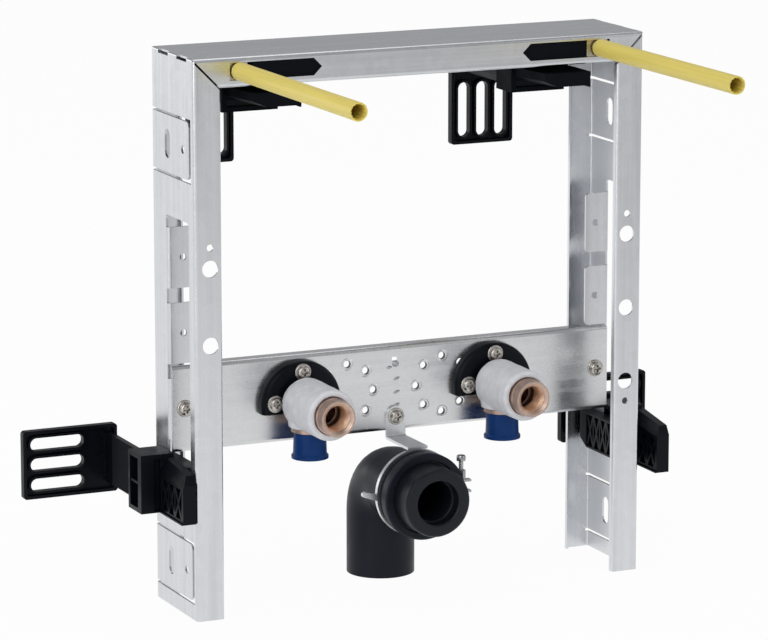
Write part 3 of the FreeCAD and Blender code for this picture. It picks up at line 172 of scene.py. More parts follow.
def add(tree, kind, inputs=None, **settings):
    """Adds a node, sets its settings, and sets or links its inputs."""
    made = tree.nodes.new(kind)
    for name, value in settings.items():
        setattr(made, name, value)
    for socket, value in (inputs or {}).items():
        if isinstance(value, bpy.types.NodeSocket):
            tree.links.new(value, made.inputs[socket])
        else:
            made.inputs[socket].default_value = value
    return made


def start_material(name):
    """An empty material, its node tree, and the object's own coordinates."""
    material = bpy.data.materials.new(name)
    material.use_nodes = True
    tree = material.node_tree
    tree.nodes.clear()
    place = add(tree, "ShaderNodeTexCoord").outputs["Object"]
    return material, tree, place


def close_material(tree, look, relief, values, edge=None):
    """The shader with its look and its fixed values, over a relief, led to the output.

    A relief is a pattern, its depth in millimetres and its strength. Where edge is given, edges
    are rounded by it in the shading.
    """
    pattern, depth, strength = relief
    bump = {"Height": pattern, "Distance": depth * MM, "Strength": strength}
    if edge:
        bump["Normal"] = add(tree, "ShaderNodeBevel", {"Radius": edge}, samples=6).outputs[0]
    normal = add(tree, "ShaderNodeBump", bump).outputs[0]
    shader = add(tree, "ShaderNodeBsdfPrincipled", {**look, **values, "Normal": normal})
    add(tree, "ShaderNodeOutputMaterial", {"Surface": shader.outputs[0]})


def shade(rgb, factor):
    """A darker or lighter tone of a colour, with the opacity that a socket needs."""
    return [min(1, c * factor) for c in rgb] + [1]


def grain(tree, place, millimetres, stretch=(1, 1, 1), detail=3):
    """A noise pattern with cells of that size, longer along an axis where stretch is above 1."""
    scale = [1 / s for s in stretch]
    drawn = add(tree, "ShaderNodeMapping", {"Vector": place, "Scale": scale}).outputs[0]
    return add(tree, "ShaderNodeTexNoise", {
        "Vector": drawn, "Scale": 1 / (millimetres * MM), "Detail": detail}).outputs[0]


def varied(tree, pattern, rgb, tones, roughness):
    """A colour and a roughness that follow a pattern, each from its first value to its second."""
    ramp = add(tree, "ShaderNodeValToRGB", {"Fac": pattern})
    for element, place, tone in zip(ramp.color_ramp.elements, NOISE_REACH, tones):
        element.position = place
        element.color = shade(rgb, tone)
    rough = add(tree, "ShaderNodeMapRange", {
        "Value": pattern, "From Min": NOISE_REACH[0], "From Max": NOISE_REACH[1],
        "To Min": roughness[0], "To Max": roughness[1]})
    return {"Base Color": ramp.outputs[0], "Roughness": rough.outputs[0]}


def galvanised(name, rgb, along, spangle, dull=0.3, inside=False):
    """Galvanised steel, rolled and bent: soft streaks along the rolling direction.

    They draw reflections out along the sheet and leave the zinc satin, not mirror bright.
    """
    material, tree, place = start_material(name)
    stretch = [40 if axis == along else 1 for axis in "xyz"]
    # Rolling streaks a few millimetres wide, long enough to cross a whole flange.
    streaks = grain(tree, place, 5, stretch, detail=4)
    fine = grain(tree, place, 0.9, stretch, detail=2)
    # Zinc crystals, which only shade the surface slightly.
    crystals = add(tree, "ShaderNodeTexVoronoi", {
        "Vector": place, "Scale": 1 / (spangle * MM)}).outputs["Color"]
    both = add(tree, "ShaderNodeMix", {"Factor": 0.16, "A": streaks, "B": crystals}).outputs[0]
    look = varied(tree, both, rgb, (0.9, 1.06), (dull - 0.1, dull))
    # Where inside is set, painted light makes the inner faces of the posts' webs paler.
    if inside:
        look = painted_inner_light(tree, place, rgb, look)
    close_material(tree, look, (fine, 0.015, 0.3), METAL)
    return material


def painted_inner_light(tree, place, rgb, look):
    """Painted light on the faces of the posts' webs towards the middle: a paler colour, and more
    matt.
    """
    facing = add(tree, "ShaderNodeVectorMath", {0: place, 1: place.node.outputs["Normal"]},
                 operation="MULTIPLY").outputs["Vector"]
    sideways = add(tree, "ShaderNodeSeparateXYZ", {0: facing}).outputs["X"]
    # A web lies 0.17 m to the side, so its inner face has about -0.17 here, and others more.
    inward = add(tree, "ShaderNodeMapRange", {
        "Value": sideways, "From Min": -0.14, "From Max": -0.1, "To Min": 1.0,
        "To Max": 0.0}).outputs[0]
    # Painted light: a paler colour on the inner faces of the webs.
    # Sockets 6 and 7 and output 2 are the colours of this node.
    painted_paler = add(tree, "ShaderNodeMix", {0: inward, 6: look["Base Color"], 7: shade(rgb, 1.16)},
                data_type="RGBA").outputs[2]
    duller = add(tree, "ShaderNodeMath", {0: inward, 1: 0.2, 2: look["Roughness"]},
                 operation="MULTIPLY_ADD").outputs[0]
    return {"Base Color": painted_paler, "Roughness": duller}


def sheared(name, rgb):
    """Steel, sheared or pressed: rough and darker; in the holes the dark is torn zinc and also
    painted shade, on the pressed marks it is painted shade.
    """
    material, tree, place = start_material(name)
    torn = grain(tree, place, 0.8)
    look = varied(tree, torn, rgb, (0.8, 1.3), (0.45, 0.6))
    close_material(tree, look, (torn, 0.05, 0.6), METAL)
    return material


def zinc_plated(name, rgb):
    """Zinc plated steel, pressed or rolled: bright, and cloudy grey in small patches."""
    material, tree, place = start_material(name)
    cloud = grain(tree, place, 2.5)
    look = varied(tree, cloud, rgb, (0.8, 1.08), (0.2, 0.36))
    close_material(tree, look, (cloud, 0.05, 0.5), METAL)
    return material


def strip_steel(name, rgb):
    """Zinc plated strip, rolled and bent: bright and smooth, with a faint grain."""
    material, tree, place = start_material(name)
    cloud = grain(tree, place, 5, (1, 1, 6))
    look = varied(tree, cloud, rgb, (0.94, 1.04), (0.34, 0.4))
    close_material(tree, look, (cloud, 0.008, 0.2), METAL)
    return material


def turned_brass(name, rgb):
    """Red brass, cast and turned: warm, with fine turning marks along the axis."""
    material, tree, place = start_material(name)
    cloud = grain(tree, place, 4)
    # Turning marks half a millimetre apart; a wave of scale 1 repeats every 0.31 m.
    marks = add(tree, "ShaderNodeTexWave", {
        "Vector": place, "Scale": 0.31 / (0.5 * MM), "Distortion": 1.5},
        bands_direction="Y").outputs["Fac"]
    look = varied(tree, cloud, rgb, (0.82, 1.05), (0.36, 0.46))
    close_material(tree, look, (marks, 0.03, 0.4), METAL)
    return material


def foam(name, rgb):
    """Polyethylene foam, extruded: matt and soft, with closed cells of about a millimetre."""
    material, tree, place = start_material(name)
    cells = add(tree, "ShaderNodeTexVoronoi", {
        "Vector": place, "Scale": 1 / (1.1 * MM)}).outputs["Distance"]
    look = varied(tree, grain(tree, place, 6), rgb, (0.88, 1.02), (0.5, 0.7))
    close_material(tree, look, (cells, 0.25, 0.35), {
        "IOR": 1.5, "Subsurface Weight": 0.25, "Subsurface Scale": 1.5 * MM,
        "Subsurface Radius": (1.0, 1.0, 1.0)})
    return material


def moulded(name, rgb, roughness, grain_mm, edge=None, depth=0.04, sheen=0.14):
    """A moulded plastic or rubber: a fine even grain and slightly uneven gloss.

    The gloss is low, so black stays black and only the rounded edges catch the light. The real
    grain is about 0.2 mm wide; it is drawn wider, so that it shows.
    """
    material, tree, place = start_material(name)
    look = varied(tree, grain(tree, place, 14), rgb, (0.88, 1.1), roughness)
    close_material(tree, look, (grain(tree, place, grain_mm), depth, 0.5),
                   {"IOR": 1.5, "Specular IOR Level": sheen}, edge)
    return material


def extruded_sleeve(name, rgb):
    """Polyethylene, extruded: satin, with faint draw lines along its length."""
    material, tree, place = start_material(name)
    lines = grain(tree, place, 1.2, (1, 60, 1), detail=2)
    look = varied(tree, lines, rgb, (0.93, 1.03), (0.36, 0.48))
    close_material(tree, look, (lines, 0.04, 0.4), {
        "IOR": 1.51, "Subsurface Weight": 0.1, "Subsurface Scale": 1.0 * MM})
    return material


def finish_of(name):
    """The material of that name, which an operator before this one has made."""
    if name not in bpy.data.materials:
        raise RuntimeError("the material %s is not made yet" % name)
    return bpy.data.materials[name]


def cover(nodes, material):
    """Gives one material to CAD nodes."""
    for name in nodes:
        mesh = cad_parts[name].data
        mesh.materials.clear()
        mesh.materials.append(material)


# Meshes

def in_mm(profile):
    """A profile of distance and radius, from millimetres."""
    return [(distance * MM, radius * MM) for distance, radius in profile]


def axes_of(axis):
    """An axis of length 1, and two directions square to it."""
    axis = Vector(axis).normalized()
    side = Vector((0, 0, 1)) if abs(axis.z) < 0.9 else Vector((1, 0, 0))
    first = axis.cross(side).normalized()
    return axis, first, axis.cross(first)


def turned(work, profile, origin, axis, segments, warp=None, closed=False):
    """Turns pairs of distance and radius about an axis; warp shifts them by angle."""
    axis, first, second = axes_of(axis)
    rings = []
    for distance, radius in profile:
        ring = []
        for step in range(segments):
            angle = 2 * math.pi * step / segments
            d, r = warp(distance, radius, angle) if warp else (distance, radius)
            around = first * math.cos(angle) + second * math.sin(angle)
            ring.append(work.verts.new(Vector(origin) + axis * d + around * r))
        rings.append(ring)
    join(work, rings + rings[:1] if closed else rings)
    if not closed:
        work.faces.new(rings[0])
        work.faces.new(rings[-1])


def join(work, rings):
    """Faces between each ring of points and the next."""
    for one, other in zip(rings, rings[1:]):
        for step in range(len(one)):
            after = (step + 1) % len(one)
            work.faces.new((one[step], one[after], other[after], other[step]))


def bar(work, corners, start, end):
    """A bar between two planes, from the corners of its section."""
    rings = [[work.verts.new(Vector(plane) + Vector(corner)) for corner in corners]
             for plane in (start, end)]
    join(work, rings)
    for ring in rings:
        work.faces.new(ring)


def piece(name, work, material, stands_for=(), smooth=True):
    """A finished piece from a bmesh, which rides on the frame."""
    bmesh.ops.recalc_face_normals(work, faces=work.faces)
    mesh = bpy.data.meshes.new(name)
    work.to_mesh(mesh)
    work.free()
    dress(name, mesh, material, stands_for, smooth)


def dress(name, mesh, material, stands_for=(), smooth=True):
    """A piece from a finished mesh; stands_for names the CAD nodes that it replaces."""
    mesh.materials.clear()
    mesh.materials.append(material)
    if smooth:
        mesh.shade_smooth()
        mesh.set_sharp_from_angle(angle=CREASE)
    item = bpy.data.objects.new(name, mesh)
    bpy.context.scene.collection.objects.link(item)
    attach(item, "root")
    if stands_for:
        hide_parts(*stands_for)


# Pieces

PLATE_FINISH = "Galvanised steel plate, punched"


class BASINFRAME_OT_sheet(bpy.types.Operator):
    """Galvanised finish of the posts, the beam and the cross plate"""

    bl_idname = "basinframe.sheet"
    bl_label = "Galvanised sheet"

    def execute(self, context):
        finish = context.scene.basin_finish
        # Zinc crystals are 7 mm across on the frame's sheet and 5 mm on the plate's.
        # The upright sheet carries painted light on the inner faces of the posts' webs.
        upright = galvanised("Galvanised steel, rolled upright", finish.sheet, "z", 7,
                             inside=True)
        level = galvanised("Galvanised steel, rolled level", finish.sheet, "x", 7)
        plate = galvanised(PLATE_FINISH, finish.plate, "x", 5, dull=0.33)
        cover(["left_post", "right_post"], upright)
        cover(["top_beam"], level)
        cover(["cross_plate"], plate)
        return {"FINISHED"}


# Rings of holes in the cross plate, in millimetres
RING_TO_MIDDLE = 37.7
RING_RADIUS = 20.7
HOLES_IN_RING = 8
# The two holes nearest the tap lie under its mount.
HOLES_UNDER_MOUNT = 2
HOLE_SEGMENTS = 48
# Profile of a rim: share of its height, height above the plate's front, and radius
RIM = ((0, -0.02, 4.6), (0.8, 0, 4.2), (1, 0, 3.9), (0.8, 0, 3.6), (0, 0.02, 3.0),
       (0, -0.1, 3.2))
# Profile of a sheared edge inside a hole: height above the plate's front, and radius
SHEARED_EDGE = ((0.05, 3.1), (-0.5, 2.55), (-2.6, 2.55), (-2.6, 2.75), (-0.1, 2.85))

# Slanted marks on the plate: place across and up from its middle and half length in
# millimetres, and tilt in radians
SLANTED_MARKS = (
    (-4.4, 15.6, 2.2, 0.15), (1.5, 6.9, 2.6, 0.35), (1.5, -3.0, 2.6, 0.35),
    (1.5, -12.5, 2.6, 0.35),
)
MARK_HALF_WIDTH = 1.0
# The tongue under the small hole: its middle, half width and half height
TONGUE_X, TONGUE_Z = 0.6, 17.9
TONGUE_HALF_WIDTH, TONGUE_HALF_HEIGHT = 2.6, 2.3
DOME_RINGS = 6
DOME_SEGMENTS = 32


class BASINFRAME_OT_plate_marks(bpy.types.Operator):
    """Pressed rims round the rings of holes, and the small marks in the cross plate's middle"""

    bl_idname = "basinframe.plate_marks"
    bl_label = "Marks of the cross plate"

    def execute(self, context):
        finish = context.scene.basin_finish
        detail = context.scene.basin_detail
        low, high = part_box("cross_plate")
        middle = Vector((0, low.y, (low.z + high.z) / 2))
        self.holes(middle, detail.rim_height, finish.sheared)
        self.marks(middle, detail, finish.mark)
        return {"FINISHED"}

    def holes(self, middle, height, rgb):
        """A low rim round each free hole of the rings, and the sheared edge inside it."""
        rims = bmesh.new()
        edges = bmesh.new()
        rim = [(height * share + above * MM, radius * MM) for share, above, radius in RIM]
        for side in (-1, 1):
            for number in range(HOLES_UNDER_MOUNT, HOLES_IN_RING):
                angle = 2 * math.pi * number / HOLES_IN_RING
                x = side * (RING_TO_MIDDLE + RING_RADIUS * math.cos(angle)) * MM
                z = RING_RADIUS * math.sin(angle) * MM
                place = middle + Vector((x, 0, z))
                turned(rims, rim, place, FORWARD, HOLE_SEGMENTS, closed=True)
                turned(edges, in_mm(SHEARED_EDGE), place, FORWARD, HOLE_SEGMENTS, closed=True)
        piece("ring_hole_rims", rims, finish_of(PLATE_FINISH))
        # The dark edge in each hole is torn zinc and also painted shade.
        piece("ring_hole_edges", edges, sheared("Steel, sheared edge", rgb))

    def marks(self, middle, detail, rgb):
        """Four short slanted bumps, and a tongue under the small hole."""
        work = bmesh.new()
        for x, z, half_length, tilt in SLANTED_MARKS:
            along = Vector((math.cos(tilt), 0, math.sin(tilt)))
            across = Vector((-along.z, 0, along.x))
            self.dome(work, middle + Vector((x, 0, z)) * MM, along * half_length * MM,
                      across * MARK_HALF_WIDTH * MM, detail.mark_height)
        self.dome(work, middle + Vector((TONGUE_X, 0, TONGUE_Z)) * MM,
                  Vector((TONGUE_HALF_WIDTH * MM, 0, 0)),
                  Vector((0, 0, TONGUE_HALF_HEIGHT * MM)), detail.tongue_height)
        # The marks' darker grey is painted shade on the bumps.
        piece("plate_marks", work, sheared("Steel, pressed mark", rgb))

    def dome(self, work, centre, along, across, height):
        """A low dome on the plate with an oval outline, almost closed at its top."""
        turns = [2 * math.pi * step / DOME_SEGMENTS for step in range(DOME_SEGMENTS)]
        rings = []
        for step in range(DOME_RINGS):
            slope = step * math.pi / (2 * (DOME_RINGS - 1))
            share = math.cos(slope)
            rise = Vector(FORWARD) * height * math.sin(slope)
            rings.append([work.verts.new(
                centre + (along * math.cos(turn) + across * math.sin(turn)) * share + rise)
                for turn in turns])
        join(work, rings)
        work.faces.new(rings[0])
        work.faces.new(rings[-1])


# Width of the grain of the black mouldings, in millimetres
NYLON_GRAIN = 0.7


class BASINFRAME_OT_mouldings(bpy.types.Operator):
    """Black finish of the wall brackets, the clips, the rod holders and the mounts"""

    bl_idname = "basinframe.mouldings"
    bl_label = "Black mouldings"

    def execute(self, context):
        rgb = context.scene.basin_finish.moulding
        edge = context.scene.basin_detail.edge
        satin = moulded("Glass-filled nylon, moulded", rgb, (0.3, 0.42), NYLON_GRAIN, edge,
                        sheen=0.12)
        # The upper housings and the rod holders are more matt.
        dull = moulded("Glass-filled nylon, moulded dull", rgb, (0.7, 0.85), NYLON_GRAIN, edge,
                       sheen=0.1)
        for side in SIDES:
            cover([name % side for name in (
                "lower_%s_wall_plate", "lower_%s_housing", "lower_%s_clip",
                "upper_%s_wall_plate", "%s_mount")], satin)
            cover([name % side for name in ("upper_%s_housing", "%s_rod_holder")], dull)
        return {"FINISHED"}


# Flange screws, in millimetres: the head from the seat forward, as distance and radius
HEAD_HEIGHT = 4
HEAD_RADIUS = 6.25
SHANK_RADIUS = 2.3
HEAD_PROFILE = ((0, HEAD_RADIUS), (0.9, HEAD_RADIUS), (1.2, 5.9), (1.25, 4.9), (2.6, 4.75),
                (3.3, 4.3), (3.75, 3.7), (3.95, 3.2))
# The flat top has rings this far apart, so that the recess can be pressed into it.
TOP_RING_STEP = 0.2
TOP_RINGS = 14
SCREW_SEGMENTS = 96
KNURL_TEETH = 24
KNURL_DEPTH = 0.2
KNURL_FROM_RADIUS = 5.5
# The recess is cut from what lies further forward than this.
RECESS_FROM = 3
RECESS_HALF_WIDTH = 0.75
RECESS_WALL = 0.2
RECESS_END_SLOPE = 1.1


def cross_recess(depth, reach):
    """Presses a cross into a screw head and knurls its flange, by radius and angle."""
    def warp(distance, radius, angle):
        if radius > KNURL_FROM_RADIUS * MM:
            radius -= KNURL_DEPTH * MM * (0.5 + 0.5 * math.cos(KNURL_TEETH * angle))
        arm = (angle + math.pi / 4) % (math.pi / 2) - math.pi / 4
        aside = abs(radius * math.sin(arm))
        if distance > RECESS_FROM * MM and radius < reach:
            wall = min(1, max(0, (RECESS_HALF_WIDTH * MM - aside) / (RECESS_WALL * MM)))
            floor = min(1, (reach - radius) / (RECESS_END_SLOPE * MM))
            distance -= depth * wall * floor
        return distance, radius
    return warp


class BASINFRAME_OT_screws(bpy.types.Operator):
    """Zinc plated screws with their cross recess, and the slide plates of the rods"""

    bl_idname = "basinframe.screws"
    bl_label = "Screws"

    def execute(self, context):
        detail = context.scene.basin_detail
        zinc = zinc_plated("Zinc plated steel, pressed", context.scene.basin_finish.zinc)
        cover([side + "_rod_bush" for side in SIDES], zinc)
        warp = cross_recess(detail.recess_depth, detail.recess_reach)
        for node in ("end_screw_left", "end_screw_right", "middle_screw"):
            low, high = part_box(node)
            self.screws(node, [((low.x + high.x) / 2, (low.z + high.z) / 2)], warp, zinc)
        for side in SIDES:
            node = side + "_mount_screws"
            low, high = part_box(node)
            inset = HEAD_RADIUS * MM
            # Two screws below, and one above in the middle
            self.screws(node, [(low.x + inset, low.z + inset), (high.x - inset, low.z + inset),
                               ((low.x + high.x) / 2, high.z - inset)], warp, zinc)
        return {"FINISHED"}

    def screws(self, node, places, warp, zinc):
        """Pan heads with a flange on their shanks, in place of a CAD node's plain screws."""
        low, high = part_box(node)
        seat = low.y + HEAD_HEIGHT * MM
        profile = in_mm(((0, SHANK_RADIUS),) + HEAD_PROFILE)
        profile += [(HEAD_HEIGHT * MM, TOP_RING_STEP * MM * step)
                    for step in range(TOP_RINGS, 0, -1)]
        shank_end = (seat - high.y, SHANK_RADIUS * MM)
        work = bmesh.new()
        for x, z in places:
            turned(work, [shank_end] + profile, (x, seat, z), FORWARD, SCREW_SEGMENTS, warp)
        piece(node + "_with_recess", work, zinc, (node,))


# Tightening bolt of the clamp, in millimetres: heights are from its lower end
BOLT_TO_EDGE = 3.7
EAR_LEVELS = (2.75, 10.75)
EAR_LENGTH = 11
EAR_HALF_DEPTH, EAR_HALF_HEIGHT = 2.4, 0.8
BOLT_PITCH = 0.8
BOLT_THREAD_DEPTH = 0.35
BOLT_RADIUS = 1.75
BOLT_RING_STEP = 0.18
BOLT_RINGS = 155
BOLT_SEGMENTS = 32
NUT_SIDES = 6
LONG_NUT = ((11.0, 2.6), (11.3, 3.4), (18.7, 3.4), (19.0, 2.6))
BOLT_HEAD = ((25.6, 3.3), (28.9, 3.3), (29.6, 2.9), (29.9, 1.6), (30.0, 0.3))


class BASINFRAME_OT_clamp(bpy.types.Operator):
    """Zinc plated ring and strap of the waste, and its tightening bolt"""

    bl_idname = "basinframe.clamp"
    bl_label = "Waste clamp"

    def execute(self, context):
        finish = context.scene.basin_finish
        cover(["clamp_ring", "clamp_strap"], strip_steel("Zinc plated steel strip", finish.strip))
        self.bolt(zinc_plated("Zinc plated steel, rolled thread", finish.bolt))
        return {"FINISHED"}

    def bolt(self, zinc):
        """Two ears, a threaded shank, a long nut and a domed head."""
        low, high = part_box("clamp_bolt")
        y = (low.y + high.y) / 2
        work = bmesh.new()
        corners = [Vector((0, back * EAR_HALF_DEPTH, up * EAR_HALF_HEIGHT)) * MM
                   for back, up in ((-1, -1), (1, -1), (1, 1), (-1, 1))]
        for level in EAR_LEVELS:
            start = Vector((low.x, y, low.z + level * MM))
            bar(work, corners, start, start + Vector((EAR_LENGTH * MM, 0, 0)))
        pitch = BOLT_PITCH * MM

        def thread(distance, radius, angle):
            phase = (distance / pitch - angle / (2 * math.pi)) % 1
            return distance, radius - BOLT_THREAD_DEPTH * MM * abs(phase - 0.5)

        foot = (low.x + BOLT_TO_EDGE * MM, y, low.z)
        shank = [(BOLT_RING_STEP * step, BOLT_RADIUS) for step in range(BOLT_RINGS)]
        turned(work, in_mm(shank), foot, UP, BOLT_SEGMENTS, thread)
        turned(work, in_mm(LONG_NUT), foot, UP, NUT_SIDES)
        turned(work, in_mm(BOLT_HEAD), foot, UP, BOLT_SEGMENTS)
        piece("clamp_bolt_threaded", work, zinc, ("clamp_bolt",))


# Sockets of the tap elbows, in millimetres
SOCKET_BELOW_SLEEVE = 18.5
BORE_RADIUS = 9.5
MOUTH_DEPTH = 1.5
# The solids' mouths are rounded out to a little less than this radius.
ROUNDED_MOUTH_RADIUS = 10.6
THREAD_ROOT_RADIUS = 9.52
THREAD_REACH = 20
THREAD_RINGS = 84
THREAD_SEGMENTS = 72
# Above 2, so the ridge is narrower than its pitch and leaves a flat root.
THREAD_STEEPNESS = 2.4
# The thread's ring is a thin wall just outside the bore.
THREAD_WALL = 0.1


class BASINFRAME_OT_tap_elbows(bpy.types.Operator):
    """Red brass tap elbows with a bevelled mouth, and the thread in their sockets"""

    bl_idname = "basinframe.tap_elbows"
    bl_label = "Tap elbows"

    def execute(self, context):
        detail = context.scene.basin_detail
        finish = context.scene.basin_finish
        cast = turned_brass("Red brass, cast and turned", finish.brass)
        # The bores are paler as freshly turned brass and also as painted light in the recess.
        bright = turned_brass("Red brass, freshly turned", finish.bore)
        for side in SIDES:
            node = side + "_tap_elbow"
            low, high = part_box(node)
            sleeve_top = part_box(side + "_insulation")[1].z
            mouth = Vector(((low.x + high.x) / 2, low.y, sleeve_top - SOCKET_BELOW_SLEEVE * MM))
            mesh = self.bevelled(node, mouth, detail.mouth)
            dress(side + "_elbow_with_bevel", mesh, cast, (node,))
            self.thread(side, mouth, detail, bright)
        return {"FINISHED"}

    def bevelled(self, node, mouth, mouth_radius):
        """The CAD elbow with its bore opened out to a cone at the mouth."""
        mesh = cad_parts[node].data.copy()
        bore, end = BORE_RADIUS * MM, MOUTH_DEPTH * MM
        for vertex in mesh.vertices:
            deep = vertex.co.y - mouth.y
            away = Vector((vertex.co.x - mouth.x, 0, vertex.co.z - mouth.z))
            if deep < end and away.length < ROUNDED_MOUTH_RADIUS * MM:
                radius = mouth_radius - (mouth_radius - bore) * deep / end
                vertex.co = mouth + Vector((0, deep, 0)) + away.normalized() * radius
        return mesh

    def thread(self, side, mouth, detail, brass):
        """A bevel of bright brass at the mouth, and the thread behind it."""
        root = THREAD_ROOT_RADIUS * MM
        reach = THREAD_REACH * MM
        start = MOUTH_DEPTH * MM
        wall = THREAD_WALL * MM

        def warp(distance, radius, angle):
            if radius > root:
                return distance, radius
            phase = (distance / detail.thread_pitch - angle / (2 * math.pi)) % 1
            ridge = max(0.0, 1 - abs(phase - 0.5) * THREAD_STEEPNESS)
            # The thread rises over its first millimetre and runs out over its last two.
            lead = min(1, (distance - start) / MM, (reach - distance) / (2 * MM))
            return distance, radius - detail.thread_depth * ridge * max(0, lead)

        profile = [(0.0, detail.mouth), (start * 0.5, (detail.mouth + root) / 2)]
        profile += [(start + reach * step / THREAD_RINGS, root - 0.001 * MM)
                    for step in range(THREAD_RINGS + 1)]
        profile += [(start + reach, root + wall), (start, root + wall),
                    (wall, detail.mouth + wall)]
        work = bmesh.new()
        turned(work, profile, mouth, BACKWARD, THREAD_SEGMENTS, warp, closed=True)
        piece(side + "_socket_thread", work, brass)


# Foam sleeves, in millimetres: the size of the mesh that is smoothed, and of the lumps
FOAM_VOXEL = 0.8
FOAM_SMOOTHING = 6
FOAM_LUMP = 9
FOAM_FINE = 2.2
# Shares of the lumps and of the fine unevenness, and how far both lie under the smooth sleeve
LUMP_SHARE, FINE_SHARE, SINK = 0.7, 0.3, 0.2


class BASINFRAME_OT_foam(bpy.types.Operator):
    """Soft insulating sleeves round the tap elbows"""

    bl_idname = "basinframe.foam"
    bl_label = "Insulating sleeves"

    def execute(self, context):
        soft = foam("Polyethylene foam, extruded", context.scene.basin_finish.foam)
        for side in SIDES:
            node = side + "_insulation"
            mesh = self.softened(node, context.scene.basin_detail.foam_grain)
            dress(side + "_foam_sleeve", mesh, soft, (node,))
        return {"FINISHED"}

    def softened(self, node, height):
        """The CAD sleeve with round edges and an uneven surface."""
        work = bpy.data.objects.new(node + "_work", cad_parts[node].data.copy())
        bpy.context.scene.collection.objects.link(work)
        remesh = work.modifiers.new("remesh", "REMESH")
        remesh.mode = "VOXEL"
        remesh.voxel_size = FOAM_VOXEL * MM
        smooth = work.modifiers.new("smooth", "SMOOTH")
        smooth.iterations = FOAM_SMOOTHING
        depsgraph = bpy.context.evaluated_depsgraph_get()
        mesh = bpy.data.meshes.new_from_object(work.evaluated_get(depsgraph))
        bpy.data.objects.remove(work)
        normals = [vertex.normal.copy() for vertex in mesh.vertices]
        for vertex, normal in zip(mesh.vertices, normals):
            lump = noise.noise(vertex.co * (1 / (FOAM_LUMP * MM)))
            fine = noise.noise(vertex.co * (1 / (FOAM_FINE * MM)))
            vertex.co += normal * height * (LUMP_SHARE * lump + FINE_SHARE * fine - SINK)
        return mesh


class BASINFRAME_OT_plugs(bpy.types.Operator):
    """Blue building plugs under the tap elbows"""

    bl_idname = "basinframe.plugs"
    bl_label = "Plugs"

    def execute(self, context):
        blue = moulded("Polyethylene plug, moulded", context.scene.basin_finish.plug,
                       (0.3, 0.42), 0.9)
        cover([side + "_plug" for side in SIDES], blue)
        return {"FINISHED"}


# Ribs in the rod sleeves, in millimetres: root and tip are radii from the sleeve's axis
RIB_ROOT_RADIUS = 5.5
RIB_TIP_FROM_RADIUS = 5.4
RIB_HALF_WIDTH = 0.35
# Width at the tip as a share of that at the root
RIB_TAPER = 0.6
RIB_SETBACK = 0.3
RIB_LENGTH = 184


class BASINFRAME_OT_rod_sleeves(bpy.types.Operator):
    """Yellow sleeves for the threaded rods, ribbed inside"""

    bl_idname = "basinframe.rod_sleeves"
    bl_label = "Rod sleeves"

    def execute(self, context):
        detail = context.scene.basin_detail
        yellow = extruded_sleeve("Polyethylene sleeve, extruded",
                                 context.scene.basin_finish.rod_sleeve)
        for side in SIDES:
            node = side + "_rod_sleeve"
            cover([node], yellow)
            low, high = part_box(node)
            start = Vector(((low.x + high.x) / 2, low.y + RIB_SETBACK * MM,
                            (low.z + high.z) / 2))
            work = bmesh.new()
            for rib in range(detail.sleeve_ribs):
                angle = 2 * math.pi * rib / detail.sleeve_ribs
                out = Vector((math.cos(angle), 0, math.sin(angle)))
                across = Vector((-out.z, 0, out.x)) * RIB_HALF_WIDTH * MM
                root = out * RIB_ROOT_RADIUS * MM
                tip = out * (RIB_TIP_FROM_RADIUS * MM - detail.rib_height)
                corners = [root - across, root + across, tip + across * RIB_TAPER,
                           tip - across * RIB_TAPER]
                bar(work, corners, start, start + Vector((0, RIB_LENGTH * MM, 0)))
            piece(side + "_sleeve_ribs", work, yellow, smooth=False)
        return {"FINISHED"}


# Profile of the step inside the seal, in millimetres from its front and from its axis
SEAL_STEP = ((9.0, 16.1), (9.2, 15.4), (9.8, 14.9), (10.6, 14.7), (33, 14.7), (34, 16.1))
SEAL_SEGMENTS = 96
# Rounding of the seal's soft edges in the shading
SEAL_EDGE = 1.5


class BASINFRAME_OT_waste(bpy.types.Operator):
    """Waste elbow and its rubber seal"""

    bl_idname = "basinframe.waste"
    bl_label = "Waste elbow"

    def execute(self, context):
        finish = context.scene.basin_finish
        pipe = moulded("Polyethylene pipe, moulded", finish.pipe, (0.34, 0.46), 1.2, depth=0.02)
        rubber = moulded("Rubber, moulded", finish.rubber, (0.36, 0.46), 0.6,
                         edge=SEAL_EDGE * MM, sheen=0.24)
        cover(["waste_elbow"], pipe)
        cover(["waste_seal"], rubber)
        self.step(rubber)
        return {"FINISHED"}

    def step(self, rubber):
        """One rounded step inside the bore of the seal."""
        low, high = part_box("waste_seal")
        mouth = ((low.x + high.x) / 2, low.y, (low.z + high.z) / 2)
        work = bmesh.new()
        turned(work, in_mm(SEAL_STEP), mouth, BACKWARD, SEAL_SEGMENTS, closed=True)
        piece("seal_step", work, rubber)


# Stage, in metres

# Name, place, width and height, and the setting of its power
LAMPS = (
    ("key_light", (-1.9, -2.2, 1.9), (2.2, 2.2), "key_power"),
    ("fill_light", (2.4, -1.6, 1.2), (2.0, 2.0), "fill_power"),
    ("top_light", (0.2, 0.6, 2.6), (2.0, 2.0), "fill_power"),
    ("strip_light", (-2.3, -1.05, 0.75), (0.35, 1.5), "strip_power"),
    ("rim_light", (-2.5, 5.0, 0.6), (2.6, 1.2), "rim_power"),
)
# What the camera is aimed at, in millimetres
CAMERA_TARGET = (-30.6, 28, 205.4)
SENSOR_WIDTH = 36
VIEW_END = 100

FLOOR_HALF_SIZE = 30
# Size of the faint patches on the floor, in millimetres
FLOOR_PATCH = 400
# The floor's tone falls from white to this share towards the front right, over this reach.
FRONT_RIGHT = (0.8, -0.6, 0)
FRONT_RIGHT_TONE = 0.66
FRONT_RIGHT_REACH = (0.3, 1.95)
# It fades to the tone of the sky over this reach.
FAR_REACH = (4.5, 16)
# Share of white that the rays see; the rest is the lit floor, which holds the shadow.
WHITE_SHARE = 0.96
